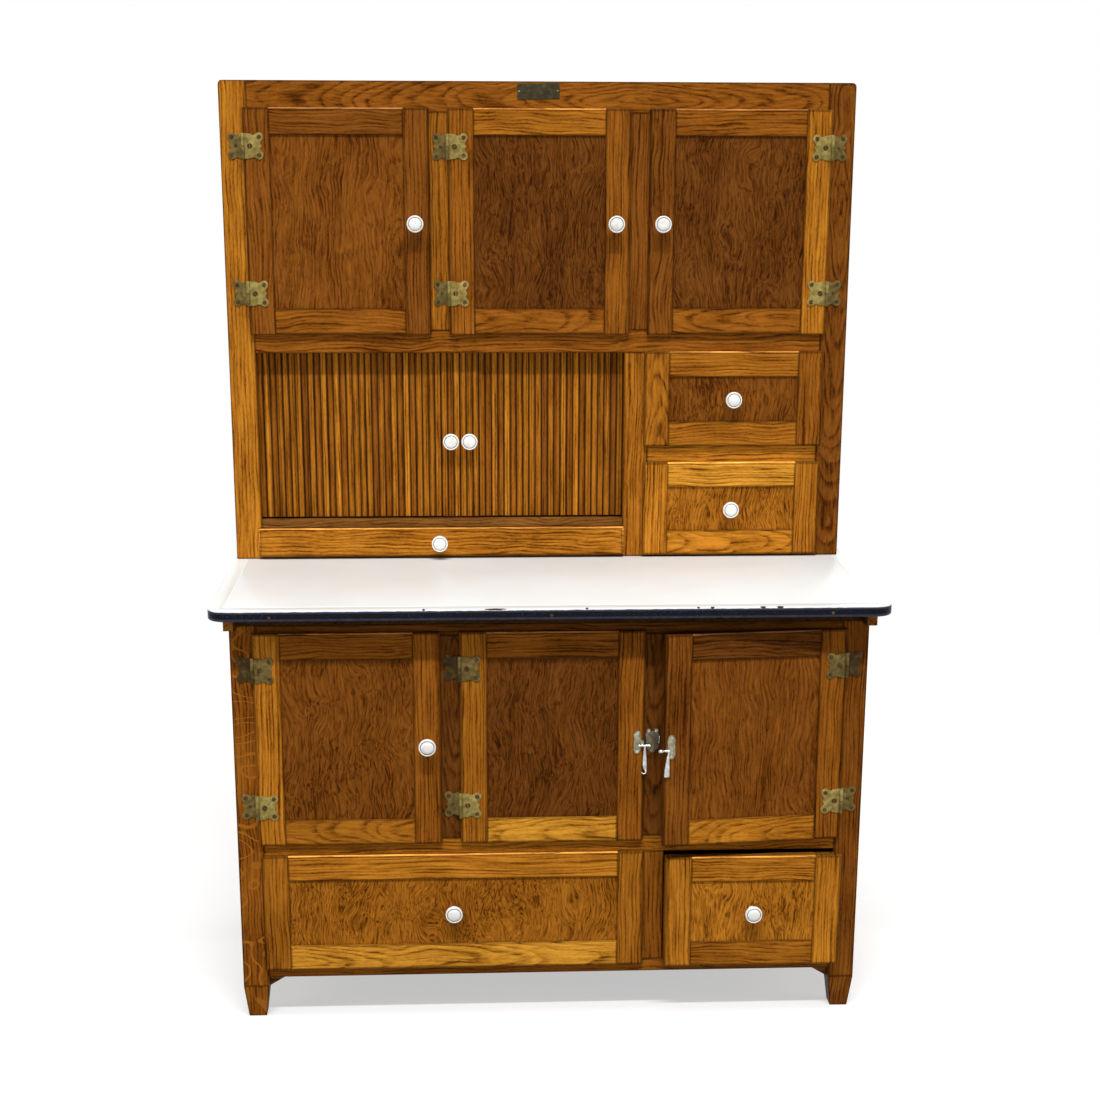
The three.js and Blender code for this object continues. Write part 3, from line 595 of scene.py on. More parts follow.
def inside_wood(along, colour):
    """Unstained oak whose grain runs along one axis. Farther than RUNNER_FROM from the middle it
    takes a paler tone: the clean end of a runner, and painted light on the cleat ends that show
    under the worktop's rim."""
    material, tree = new_material(f"aged_inner_oak_along_{along.lower()}")
    place = node(tree, "TexCoord").outputs["Object"]
    mm = node(tree, "VectorMath", {0: place, "Scale": METRE}, operation="SCALE")
    parts = node(tree, "SeparateXYZ", {0: mm}).outputs
    order = {"X": "XYZ", "Y": "YXZ", "Z": "ZXY"}[along]
    turned = node(tree, "CombineXYZ", {n: parts[axis] for n, axis in enumerate(order)})
    grain = node(tree, "VectorMath", {0: turned, 1: INNER_HEART}, operation="ADD")
    aside = node(tree, "Math", {0: parts["X"]}, operation="ABSOLUTE")
    pale_end = node(tree, "Math", {0: aside, 1: RUNNER_FROM}, operation="GREATER_THAN")
    tone = node(tree, "Mix", {0: pale_end, 6: linear(colour), 7: linear(RUNNER_END_AND_LIT_TONE)},
                data_type="RGBA")
    oiled_wood(tree, grain, tone, INNER_WAVE, 0.6)
    return material


for along, colour, names in INSIDE_BOARDS:
    wood = inside_wood(along, colour)
    for name in names:
        frame["nodes"][name].data.materials.clear()
        frame["nodes"][name].data.materials.append(wood)

# ---------------------------------------------------------------- worktop
# A pan of pressed sheet steel with a rolled edge, fired with white enamel on top and blue-black
# enamel round the rim. The rim has chipped to bare iron, and three brass screws hold it.

TOP_CORNER = 36
TOP_EDGE = 3.0
PAN_WALL = 4.1
BEAD_INSET = 26
BEAD_WIDTH = 3.0
BEAD_DEPTH = 0.9
ENAMEL_WHITE = "#eceeec"
ENAMEL_AGED = "#e6e6e1"
ENAMEL_BLACK = "#0a0910"
ENAMEL_FLECK = "#4a4a66"
ENAMEL_EDGE_HIGHLIGHT = "#4a4f6c"
IRON_DARK = "#120d0c"
IRON_RUST = "#4d2a20"
# How far down the rim the white ends, how far up its border wanders from there, and where the
# bands of painted highlight fade in and out below that border and above the foot of the rim (mm).
WHITE_ENDS = 4.0
WHITE_WANDERS = 3.0
HIGHLIGHT_UNDER_WHITE = (4.2, 2.0)
HIGHLIGHT_OVER_FOOT = (6.2, 3.8)
# Chips along the front edge: where they are, and how long and how high they are (mm). Each has
# its middle a little behind the front and under the top, and reaches back over the edge.
CHIPS = ((-106, 21, 1.8), (294, 4, 2.2), (388, 6, 2.0), (420, 7, 2.2), (-238, 3, 2.5),
         (62, 3, 1.6), (268, 3, 1.6))
CHIP_MIDDLE = (2.0, 0.5)
CHIP_BACK = 5


def worktop_enamel():
    """Glazed enamel: white above the rim's upper edge and dark below it, with an uneven border.
    Bluer bands of painted highlight run along the dark glaze where it rolls over the upper and
    lower edges."""
    low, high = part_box("worktop_enamel")
    material, tree = new_material("fired_enamel_on_steel")
    place = node(tree, "TexCoord").outputs["Object"]
    parts = node(tree, "SeparateXYZ", {0: place}).outputs
    wander = node(tree, "TexNoise", {"Vector": place, "Scale": 60.0, "Detail": 3.0})
    border = node(tree, "Math", {0: wander, 1: WHITE_WANDERS / METRE,
                                 2: high.z - WHITE_ENDS / METRE},
                  operation="MULTIPLY_ADD")
    height = node(tree, "Math", {0: parts["Z"], 1: border}, operation="SUBTRACT")
    above = node(tree, "MapRange", {0: height, 1: -0.0004, 2: 0.0005})
    slow = node(tree, "TexNoise", {"Vector": place, "Scale": 3.5, "Detail": 3.0})
    aged = node(tree, "MapRange", {0: slow, 1: 0.35, 2: 0.7})
    white = node(tree, "Mix", {0: aged, 6: linear(ENAMEL_WHITE), 7: linear(ENAMEL_AGED)},
                 data_type="RGBA")
    speck = node(tree, "TexNoise", {"Vector": place, "Scale": 420.0, "Detail": 2.0})
    fleck = node(tree, "MapRange", {0: speck, 1: 0.66, 2: 0.74})
    navy = node(tree, "Mix", {0: fleck, 6: linear(ENAMEL_BLACK), 7: linear(ENAMEL_FLECK)},
                data_type="RGBA")
    # Painted highlight: bluer bands along the rolled upper and lower edges of the rim.
    foot = node(tree, "MapRange", {0: parts["Z"], 1: low.z + HIGHLIGHT_OVER_FOOT[0] / METRE,
                                   2: low.z + HIGHLIGHT_OVER_FOOT[1] / METRE})
    brow = node(tree, "MapRange", {0: height, 1: -HIGHLIGHT_UNDER_WHITE[0] / METRE,
                                   2: -HIGHLIGHT_UNDER_WHITE[1] / METRE})
    banded = node(tree, "Math", {0: foot, 1: brow}, operation="MAXIMUM")
    worn = node(tree, "Math", {0: banded, 1: wander}, operation="MULTIPLY")
    rim_with_highlight = node(tree, "Mix", {0: worn, 6: navy, 7: linear(ENAMEL_EDGE_HIGHLIGHT)}, data_type="RGBA")
    colour = node(tree, "Mix", {0: above, 6: rim_with_highlight, 7: white}, data_type="RGBA")
    edge = node(tree, "TexNoise", {"Vector": place, "Scale": 300.0, "Detail": 2.0})
    chipped = 0.0
    for x, long, tall in CHIPS:
        chip = (x / METRE, low.y + CHIP_MIDDLE[0] / METRE, high.z - CHIP_MIDDLE[1] / METRE)
        off = node(tree, "VectorMath", {0: place, 1: chip}, operation="SUBTRACT")
        spread = (METRE / long, METRE / CHIP_BACK, METRE / tall)
        scaled = node(tree, "VectorMath", {0: off, 1: spread}, operation="MULTIPLY")
        away = node(tree, "VectorMath", {0: scaled}, operation="LENGTH")
        ragged = node(tree, "Math", {0: edge, 1: 0.9, 2: away}, operation="MULTIPLY_ADD")
        hole = node(tree, "MapRange", {0: ragged, 1: 1.45, 2: 1.3})
        chipped = node(tree, "Math", {0: hole, 1: chipped}, operation="MAXIMUM")
    iron = node(tree, "Mix", {0: edge, 6: linear(IRON_DARK), 7: linear(IRON_RUST)},
                data_type="RGBA")
    colour = node(tree, "Mix", {0: chipped, 6: colour, 7: iron}, data_type="RGBA")
    rough = node(tree, "Math", {0: chipped, 1: 0.4, 2: 0.3}, operation="MULTIPLY_ADD")
    glass = node(tree, "Math", {0: above, 1: -0.12, 2: 0.12}, operation="MULTIPLY_ADD")
    ripple = node(tree, "TexNoise", {"Vector": place, "Scale": 26.0, "Detail": 2.0})
    sunk = node(tree, "Math", {0: chipped, 1: -1.5, 2: ripple}, operation="MULTIPLY_ADD")
    bump = node(tree, "Bump", {"Height": sunk, "Strength": 0.25, "Distance": 0.0006})
    body = node(tree, "BsdfPrincipled", {"Base Color": colour, "Roughness": rough,
                                         "Normal": bump, "IOR": 1.5,
                                         "Specular IOR Level": 0.05, "Coat Weight": glass,
                                         "Coat Roughness": 0.12})
    node(tree, "OutputMaterial", {"Surface": body})
    return material


def level(items, z):
    """The edges or faces that lie flat at one height."""
    return [item for item in items if all(abs(v.co.z - z) < 1e-3 for v in item.verts)]


low, high = box_mm("worktop_enamel")
bm = bmesh.new()
block(bm, low, high)
upright = [e for e in bm.edges if abs(e.verts[0].co.z - e.verts[1].co.z) > 1]
bevel(bm, upright, TOP_CORNER, 10)
bmesh.ops.inset_region(bm, faces=level(bm.faces, high.z), thickness=BEAD_INSET,
                       use_even_offset=True)
inner = [max(level(bm.faces, high.z), key=lambda f: f.calc_area())]
bmesh.ops.inset_region(bm, faces=inner, thickness=BEAD_WIDTH / 2, depth=-BEAD_DEPTH)
inner = [max(bm.faces, key=lambda f: f.calc_area() * (f.normal.z > 0.9))]
bmesh.ops.inset_region(bm, faces=inner, thickness=BEAD_WIDTH / 2, depth=BEAD_DEPTH)
bmesh.ops.inset_region(bm, faces=level(bm.faces, low.z), thickness=PAN_WALL,
                       use_even_offset=True)
under = [max(level(bm.faces, low.z), key=lambda f: f.calc_area())]
bmesh.ops.delete(bm, geom=under, context="FACES_ONLY")
for z, size in ((high.z, TOP_EDGE), (low.z, PAN_WALL * 0.8)):
    rim = [e for e in level(bm.edges, z) if e.calc_face_angle(0) > 1]
    bevel(bm, rim, size, 5)
put("worktop_pan", bm, "worktop", [worktop_enamel()], ["worktop_enamel"], 40)

# ---------------------------------------------------------------- hutch carcass
# The hutch stands on the back of the base: framed oak ends, one top board, and a face frame whose
# two stiles run to the full height with slightly rounded upper corners.

HUTCH_STILE = 53
HUTCH_TOP_RAIL = 58.5
HUTCH_PANEL_SINK = 5
HUTCH_GROOVE = 2
UPPER_RAIL = (419.8, 465)
SMALL_RAIL = (189, 237.5)
SMALL_FOOT = 11.5
BOTTOM_RAIL = 8
DOOR_LIP = 8
SMALL_LIP = 8.75


def hutch_end(name, side, tones):
    """One end of the hutch; side is -1 at the left and 1 at the right."""
    low, high = box_mm(name)
    bm = wooden_bmesh()
    y0, y1 = low.y + HUTCH_STILE, high.y - HUTCH_STILE
    z0, z1 = low.z + HUTCH_STILE, high.z - HUTCH_STILE
    sunk = HUTCH_PANEL_SINK if side < 0 else 0
    g = HUTCH_GROOVE
    for place, start, end, along in (
            ("front", low, (high.x, y0, high.z), Z),
            ("back", (low.x, y1, low.z), high, Z),
            ("low", (low.x, y0, low.z), (high.x, y1, z0), Y),
            ("top", (low.x, y0, z1), (high.x, y1, high.z), Y),
            ("panel", (low.x + sunk, y0 - g, z0 - g),
             (high.x - HUTCH_PANEL_SINK + sunk, y1 + g, z1 + g), Z)):
        board(bm, start, end, along, X, *tones[place], name + place)
    put(name.replace("side", "end_frame"), bm, "cabinet", [OAK], [name])


hutch_end("hutch_left_side", -1, {
    "front": ("golden", "straight"), "back": ("honey", "straight"), "low": ("honey", "straight"),
    "top": ("amber", "wavy"), "panel": ("amber", "arched")})
hutch_end("hutch_right_side", 1, {
    "front": ("chestnut", "straight"), "back": ("amber", "straight"), "low": ("amber", "straight"),
    "top": ("honey", "wavy"), "panel": ("honey", "arched")})

low, high = box_mm("hutch_top_board")
bm = wooden_bmesh()
half = (low.y + high.y) / 2
board(bm, (low.x, low.y, low.z), (high.x, half, high.z), X, Z, "amber", "arched", "top_front")
board(bm, (low.x, half, low.z), (high.x, high.y, high.z), X, Z, "honey", "wavy", "top_back")
put("hutch_top_boards", bm, "cabinet", [OAK], ["hutch_top_board"])

low, high = box_mm("hutch_face_frame")
foot = low.z
top = high.z - HUTCH_TOP_RAIL
stile_in = (low.x + HUTCH_STILE, high.x - HUTCH_STILE)
left_door = box_mm("hutch_left_door")
middle_door = box_mm("hutch_middle_door")
right_door = box_mm("hutch_right_door")
post = (middle_door[1].x - DOOR_LIP, box_mm("upper_small_drawer")[0].x + SMALL_LIP)
bm = wooden_bmesh()
for place, x0, x1, tone, cut in (("left", low.x, stile_in[0], "golden", "straight"),
                                 ("right", stile_in[1], high.x, "chestnut", "arched")):
    board(bm, (x0, low.y, foot), (x1, high.y, high.z), Z, Y, tone, cut, "hutch" + place,
          corner=place)
face_boards = [
    ("top_rail", *stile_in, top, high.z, X, "amber", "arched"),
    ("upper_rail", *stile_in, foot + UPPER_RAIL[0], foot + UPPER_RAIL[1], X, "amber", "swept"),
    ("mullion0", left_door[1].x - DOOR_LIP, middle_door[0].x + DOOR_LIP, foot + UPPER_RAIL[1], top,
     Z, "honey", "straight"),
    ("mullion1", middle_door[1].x - DOOR_LIP, right_door[0].x + DOOR_LIP, foot + UPPER_RAIL[1],
     top, Z, "chestnut", "straight"),
    ("post", *post, foot, foot + UPPER_RAIL[0], Z, "honey", "straight"),
    ("small_rail", post[1], stile_in[1], foot + SMALL_RAIL[0], foot + SMALL_RAIL[1], X, "golden",
     "straight"),
    ("low_rail", stile_in[0], post[0], foot, foot + BOTTOM_RAIL, X, "umber", "straight"),
    ("small_low_rail", post[1], stile_in[1], foot, foot + SMALL_FOOT, X, "umber", "straight"),
]
for name, x0, x1, z0, z1, along, tone, cut in face_boards:
    board(bm, (x0, low.y, z0), (x1, high.y, z1), along, Y, tone, cut, "hutch" + name)
put("hutch_stiles_and_rails", bm, "cabinet", [OAK], ["hutch_face_frame"])

# ---------------------------------------------------------------- doors
# Six framed doors of oak: stiles to the full height, rails between them, and a thin panel in
# grooves. A lip laps over the opening, and its outer edges are rounded over.

FRONT_BOARD = 51
LIP_THICK = 9.7
FRONT_THICK = 20
DOOR_LAPS = (DOOR_LIP,) * 4
TONGUE_GAP = 1
PANEL_SINK = 3.5
PANEL_THICK = 6
PANEL_GROOVE = 5
ROUNDING = 3.2


def framed_front(bm, name, low, high, face, tones, laps):
    """Stiles, rails and panel of one front, whose face lies at depth face. laps are how far it
    laps over its opening at the left, right, bottom and top. Its tongue fits in the opening."""
    x0, x1, z0, z1 = low.x, high.x, low.z, high.z
    w = FRONT_BOARD
    lip = (face, face + LIP_THICK)
    tongue = (face + LIP_THICK, face + FRONT_THICK)
    tongue_insets = [max(0, lap + TONGUE_GAP) for lap in laps]
    layers = ((lip, (0, 0, 0, 0), True), (tongue, tongue_insets, False))
    for (y0, y1), (left, right, bottom, top), outside in layers:
        a, b, c, d = x0 + left, x1 - right, z0 + bottom, z1 - top
        sides = {
            "left": ((a, y0, c), (x0 + w, y1, d), Z, ("left", "top", "bottom")),
            "right": ((x1 - w, y0, c), (b, y1, d), Z, ("right", "top", "bottom")),
            "top": ((x0 + w, y0, z1 - w), (x1 - w, y1, d), X, ("top",)),
            "bottom": ((x0 + w, y0, c), (x1 - w, y1, z0 + w), X, ("bottom",)),
        }
        for side, (start, end, along, edges) in sides.items():
            board(bm, start, end, along, Y, *tones[side], name + side,
                  edges if outside else (), ROUNDING)
    g = PANEL_GROOVE
    sunk = face + PANEL_SINK
    # The panel is darkened along its rim past the groove, for dirt and as painted shade under the
    # stiles and rails.
    board(bm, (x0 + w - g, sunk, z0 + w - g), (x1 - w + g, sunk + PANEL_THICK, z1 - w + g),
          Z, Y, *tones["panel"], name + "panel", dirt_and_shade=PANEL_GROOVE + JOINT_DIRT_AND_SHADE_WIDE)


def tones(*parts):
    """The tone and the cut of the left, right, top and bottom boards and the panel of a front."""
    places = ("left", "right", "top", "bottom", "panel")
    return {place: part.split() for place, part in zip(places, parts)}


DOOR_TONES = {
    "hutch_left_door": tones("chestnut swept", "chestnut straight", "chestnut swept",
                             "amber swept", "chestnut fine"),
    "hutch_middle_door": tones("amber straight", "amber straight", "honey swept",
                               "amber arched", "umber wavy"),
    "hutch_right_door": tones("chestnut swept", "golden straight", "amber swept",
                              "amber arched", "umber wavy"),
    "base_left_door": tones("golden straight", "amber straight", "amber swept",
                            "honey arched", "chestnut wavy"),
    "base_middle_door": tones("honey straight", "amber straight", "amber straight",
                              "straw arched", "umber wavy"),
    # The right door's umber top rail is darkened as painted shade under the worktop.
    "base_right_door": tones("chestnut straight", "amber straight", "umber swept",
                             "golden arched", "chestnut fine"),
}
AJAR_DOOR = "base_right_door"
AJAR_TURN = math.radians(6)
joints = {j["name"]: j for j in frame["joints"]}


def joint_place(name):
    """A point on the axis of a joint, in millimetres."""
    return Vector(joints[name]["pos_m"]) * METRE


def swing_open(bm):
    """Turns what was made for the shut right base door to where that door stands ajar."""
    pin = joint_place(f"{AJAR_DOOR}_hinge")
    bmesh.ops.rotate(bm, cent=pin, matrix=Matrix.Rotation(AJAR_TURN, 3, "Z"), verts=bm.verts)


def door_box(door):
    """The corners of a door as it stands shut."""
    if door != AJAR_DOOR:
        return box_mm(door)
    like_low, like_high = box_mm("base_middle_door")
    move = Vector((joint_place(f"{door}_hinge").x - like_high.x, 0, 0))
    return like_low + move, like_high + move


for door, door_tones in DOOR_TONES.items():
    low, high = door_box(door)
    bm = wooden_bmesh()
    framed_front(bm, door, low, high, low.y, door_tones, DOOR_LAPS)
    if door == AJAR_DOOR:
        swing_open(bm)
    put(f"{door}_joinery", bm, door, [OAK], [door])

# ---------------------------------------------------------------- drawers
# Four drawers have framed oak fronts like the doors, and the shallow one has a single board.
# Each front is nailed to an open box of thin boards that slides on the board below it.

BOX_WALL = 12
BOX_FLOOR = 8
BOX_GAP = 2
BOX_RISE = 0.8
SMALL_LAPS = (SMALL_LIP, 7.5, 8, 8)
# How far each front laps over its opening at the left, right, bottom and top, how far below its
# upper edge the box behind it ends, and the boards of a framed front.
DRAWERS = {
    "upper_small_drawer": (SMALL_LAPS, 28, tones("honey arched", "amber swept", "honey straight",
                                                 "honey swept", "chestnut wavy")),
    "lower_small_drawer": (SMALL_LAPS, 28, tones("golden straight", "honey straight",
                                                 "straw straight", "golden arched",
                                                 "honey wavy")),
    "wide_drawer": ((5.5, 8, 8, 3.5), 26, tones("honey straight", "honey straight",
                                                "golden straight", "straw arched",
                                                "honey flame")),
    "narrow_drawer": ((-1.7, 12, 7.5, -5.1), 17.4,
                      tones("golden straight", "golden straight", "golden swept",
                            "honey swept", "golden wavy")),
    "shallow_drawer": ((6, 1.75, 4, 0.8), 4.8, None),
}


def drawer_box(bm, name, low, high, laps, drop):
    """The open box behind a drawer's front, which ends drop below the front's upper edge."""
    x0, x1 = low.x + laps[0] + BOX_GAP, high.x - laps[1] - BOX_GAP
    z0, z1 = low.z + laps[2] + BOX_RISE, high.z - drop
    front, back = low.y + FRONT_THICK, high.y
    for side, x in (("left", x0), ("right", x1 - BOX_WALL)):
        board(bm, (x, front, z0), (x + BOX_WALL, back, z1), Y, X, "amber", "straight", name + side)
    board(bm, (x0 + BOX_WALL, back - BOX_WALL, z0), (x1 - BOX_WALL, back, z1), X, Y, "amber",
          "straight", name + "back")
    board(bm, (x0 + BOX_WALL, front, z0), (x1 - BOX_WALL, back - BOX_WALL, z0 + BOX_FLOOR), X, Z,
          "honey", "arched", name + "floor")


for drawer, (laps, drop, drawer_tones) in DRAWERS.items():
    low, high = box_mm(drawer)
    bm = wooden_bmesh()
    if drawer_tones:
        framed_front(bm, drawer, low, high, low.y, drawer_tones, laps)
        inner = FRONT_BOARD - PANEL_GROOVE
        board(bm, (low.x + inner, low.y + PANEL_SINK + PANEL_THICK, low.z + inner),
              (high.x - inner, low.y + FRONT_THICK, high.z - inner), X, Y, "amber",
              "straight", drawer + "inner")
    else:
        board(bm, low, (high.x, low.y + LIP_THICK, high.z), X, Y, "golden", "swept", drawer,
              ("left", "right", "top", "bottom"), ROUNDING)
        left, right, bottom, top = [lap + TONGUE_GAP for lap in laps]
        board(bm, (low.x + left, low.y + LIP_THICK, low.z + bottom),
              (high.x - right, low.y + FRONT_THICK, high.z - top), X, Y, "golden", "swept", drawer)
    drawer_box(bm, drawer, low, high, laps, drop)
    put(f"{drawer}_joinery", bm, drawer, [OAK], [drawer])

# ---------------------------------------------------------------- hinges
# Butterfly hinges stamped from sheet brass and dulled green with age. One leaf is screwed to the
# frame and cranked over the door's edge, the other lies on the door, and a pin joins the knuckles.

HINGE_HIGH = 51
LEAF_THICK = 1.8
LEAF_EASED = 0.5
LEAF_BORDER = 1.5
LEAF_SINK = 0.35
LOBE = 8.3
BUMP = 3.2
PIN_PROUD = 13.5
KNUCKLE = 3.2
KNUCKLE_HIGH = 24.6
KNUCKLE_GAP = 0.3
RISER_GAP = 1.2
RISER_HIGH = 46
FRAME_LEAF = {"root": 1.2, "nick": 11.5, "reach": 31.0, "middle": 14.6, "head": 3.0}
DOOR_LEAF = {"root": 2.4, "nick": 18.8, "reach": 39.6, "middle": 13.4, "head": 4.8}
SCREW_HEAD = 3.7
# A screw head, as parts of its radius: half the width of its slot and the slot's depth, how far
# the rim falls and how much wider it gets, and how far the head stands proud.
SLOT_HALF = 0.13
SLOT_DEEP = 0.3
RIM_FALL = 0.25
RIM_SPREAD = 1.12
HEAD_PROUD = 0.2


def arc(x, z, radius, start, end, steps):
    """Points on a round stretch of an outline, between two angles in degrees."""
    turns = [math.radians(start + (end - start) * n / steps) for n in range(steps + 1)]
    return [(x + radius * math.cos(t), z + radius * math.sin(t)) for t in turns]


def plate(bm, outline, thick, soften, border, sink):
    """A flat plate cut to an outline of x and z, facing the front, with its edges eased and its
    middle pressed in behind a narrow border."""
    rim = [bm.verts.new((x, 0, z)) for x, z in outline]
    face = bm.faces.new(rim)
    bmesh.ops.recalc_face_normals(bm, faces=[face])
    if face.normal.y > 0:
        bmesh.ops.reverse_faces(bm, faces=[face])
    back = bmesh.ops.extrude_face_region(bm, geom=[face], use_keep_orig=True)["geom"]
    moved = [v for v in back if isinstance(v, bmesh.types.BMVert)]
    bmesh.ops.translate(bm, vec=(0, thick, 0), verts=moved)
    bmesh.ops.reverse_faces(bm, faces=[f for f in back if isinstance(f, bmesh.types.BMFace)])
    bevel(bm, face.edges[:], soften, 2, clamp_overlap=True)
    bm.normal_update()
    top = max(bm.faces, key=lambda f: f.calc_area() * (f.normal.y < -0.99))
    bmesh.ops.inset_region(bm, faces=[top], thickness=border, use_even_offset=True)
    bmesh.ops.inset_region(bm, faces=[top], thickness=sink, depth=-sink)


def leaf_outline(root, nick, reach):
    """One wing of the butterfly: straight at the root, a nick, a round lobe at each outer corner,
    and a small bump between them."""
    half = HINGE_HIGH / 2
    lower = [(root, 1.2 - half), (nick - 4, 2.4 - half), (nick, 4.6 - half)]
    lower += arc(reach - LOBE, LOBE - half, LOBE, 212, 405, 12)
    lower += [(reach - 6.0, -6.4)] + arc(reach - 6.4, 0, BUMP, -70, 0, 3)
    return lower + [(x, -z) for x, z in reversed(lower[:-1])]


def faces_of(verts):
    """The faces round some vertices."""
    return {f for v in verts for f in v.link_faces}


def give_finish(verts, number):
    """Gives the faces round some vertices the material of that number in the list for put."""
    for face in faces_of(verts):
        face.material_index = number


def turn(bm, verts, angle, axis):
    """Turns vertices about an axis through the origin."""
    bmesh.ops.rotate(bm, cent=(0, 0, 0), matrix=Matrix.Rotation(angle, 3, axis), verts=verts)


def screw(bm, x, front, z, radius, seed):
    """A slotted screw head standing a little proud of what it holds, its slot at any angle."""
    before = set(bm.verts)
    bmesh.ops.create_circle(bm, cap_ends=True, segments=14, radius=radius)
    for side in (-1, 1):
        disc = faces_of(made_since(bm, before))
        parts = [*disc, *{e for f in disc for e in f.edges}, *{v for f in disc for v in f.verts}]
        bmesh.ops.bisect_plane(bm, geom=parts, plane_co=(0, side * radius * SLOT_HALF, 0),
                               plane_no=(0, 1, 0))
    slot = [f for f in faces_of(made_since(bm, before))
            if abs(f.calc_center_median().y) < radius * SLOT_HALF / 2]
    bmesh.ops.inset_region(bm, faces=slot, thickness=radius * 0.02, depth=-radius * SLOT_DEEP)
    rim = {e for v in made_since(bm, before) for e in v.link_edges if len(e.link_faces) == 1}
    skirt = bmesh.ops.extrude_edge_only(bm, edges=list(rim))["geom"]
    lowered = [v for v in skirt if isinstance(v, bmesh.types.BMVert)]
    bmesh.ops.translate(bm, vec=(0, 0, -radius * RIM_FALL), verts=lowered)
    bmesh.ops.scale(bm, vec=(RIM_SPREAD, RIM_SPREAD, 1), verts=lowered)
    bmesh.ops.contextual_create(bm, geom=[e for e in skirt if isinstance(e, bmesh.types.BMEdge)
                                          and all(v in lowered for v in e.verts)])
    head = made_since(bm, before)
    turn(bm, head, random.Random(seed).uniform(0, math.pi), "Z")
    turn(bm, head, math.pi / 2, "X")
    bmesh.ops.translate(bm, vec=(x, front - radius * HEAD_PROUD, z), verts=head)
    give_finish(head, 1)


def knuckle(bm, y, low, high):
    """The rolled barrel round the pin, between two heights."""
    before = set(bm.verts)
    made = bmesh.ops.create_cone(bm, cap_ends=True, segments=20, radius1=KNUCKLE, radius2=KNUCKLE,
                                 depth=high - low)["verts"]
    rims = {e for v in made for e in v.link_edges if e.verts[0].co.z == e.verts[1].co.z}
    bevel(bm, list(rims), 0.6, 2)
    bmesh.ops.translate(bm, vec=(0, y, (low + high) / 2), verts=made_since(bm, before))


def worn_metal(name, base, darker, bright, rough, metal):
    """Sheet metal with a cloudy film of age: lighter where hands have rubbed it, browner where
    dirt has stayed. Patches are 5 to 15 mm across and specks about 1 mm."""
    material, tree = new_material(name)
    place = node(tree, "TexCoord").outputs["Object"]
    cloud = node(tree, "TexNoise", {"Vector": place, "Scale": 110.0, "Detail": 4.0})
    speck = node(tree, "TexNoise", {"Vector": place, "Scale": 700.0, "Detail": 2.0})
    film = node(tree, "MapRange", {0: cloud, 1: 0.42, 2: 0.72, 4: 0.7})
    rubbed = node(tree, "MapRange", {0: cloud, 1: 0.44, 2: 0.28, 4: 0.6})
    spots = node(tree, "MapRange", {0: speck, 1: 0.6, 2: 0.72, 4: 0.5})
    colour = linear(base)
    for amount, shade in ((film, darker), (rubbed, bright), (spots, darker)):
        colour = node(tree, "Mix", {0: amount, 6: colour, 7: linear(shade)}, data_type="RGBA")
    dull = node(tree, "Math", {0: film, 1: 0.22, 2: rough}, operation="MULTIPLY_ADD")
    bump = node(tree, "Bump", {"Height": speck, "Strength": 0.3, "Distance": 0.0003})
    body = node(tree, "BsdfPrincipled", {"Base Color": colour, "Metallic": metal,
                                         "Roughness": dull, "Specular IOR Level": 0.15,
                                         "Normal": bump})
    node(tree, "OutputMaterial", {"Surface": body})
    return material


BRASS = worn_metal("tarnished_stamped_brass", "#968548", "#624f24", "#b3a266", 0.5, 0.3)
# Browner and darker brass stand for dirt, and on the frame leaves for painted shade.
BROWN_BRASS_FOR_DIRT_AND_SHADE = worn_metal("stamped_brass_browned_by_dirt_and_painted_shade", "#705f32", "#423516", "#907e4a",
                         0.5, 0.3)
DARK_BRASS = worn_metal("stamped_brass_black_with_dirt_and_painted_shade", "#4a391a", "#281d0b", "#6f5c32",
                        0.55, 0.3)
OLD_SCREW = worn_metal("rusted_steel_screw", "#54361a", "#2f1c0c", "#86683c", 0.6, 0.0)


def settle(bm, toward, place):
    """Moves fittings that were made at the origin to their place, mirrored where toward is -1."""
    bmesh.ops.scale(bm, vec=(toward, 1, 1), verts=bm.verts)
    bmesh.ops.recalc_face_normals(bm, faces=bm.faces)
    bmesh.ops.translate(bm, vec=place, verts=bm.verts)


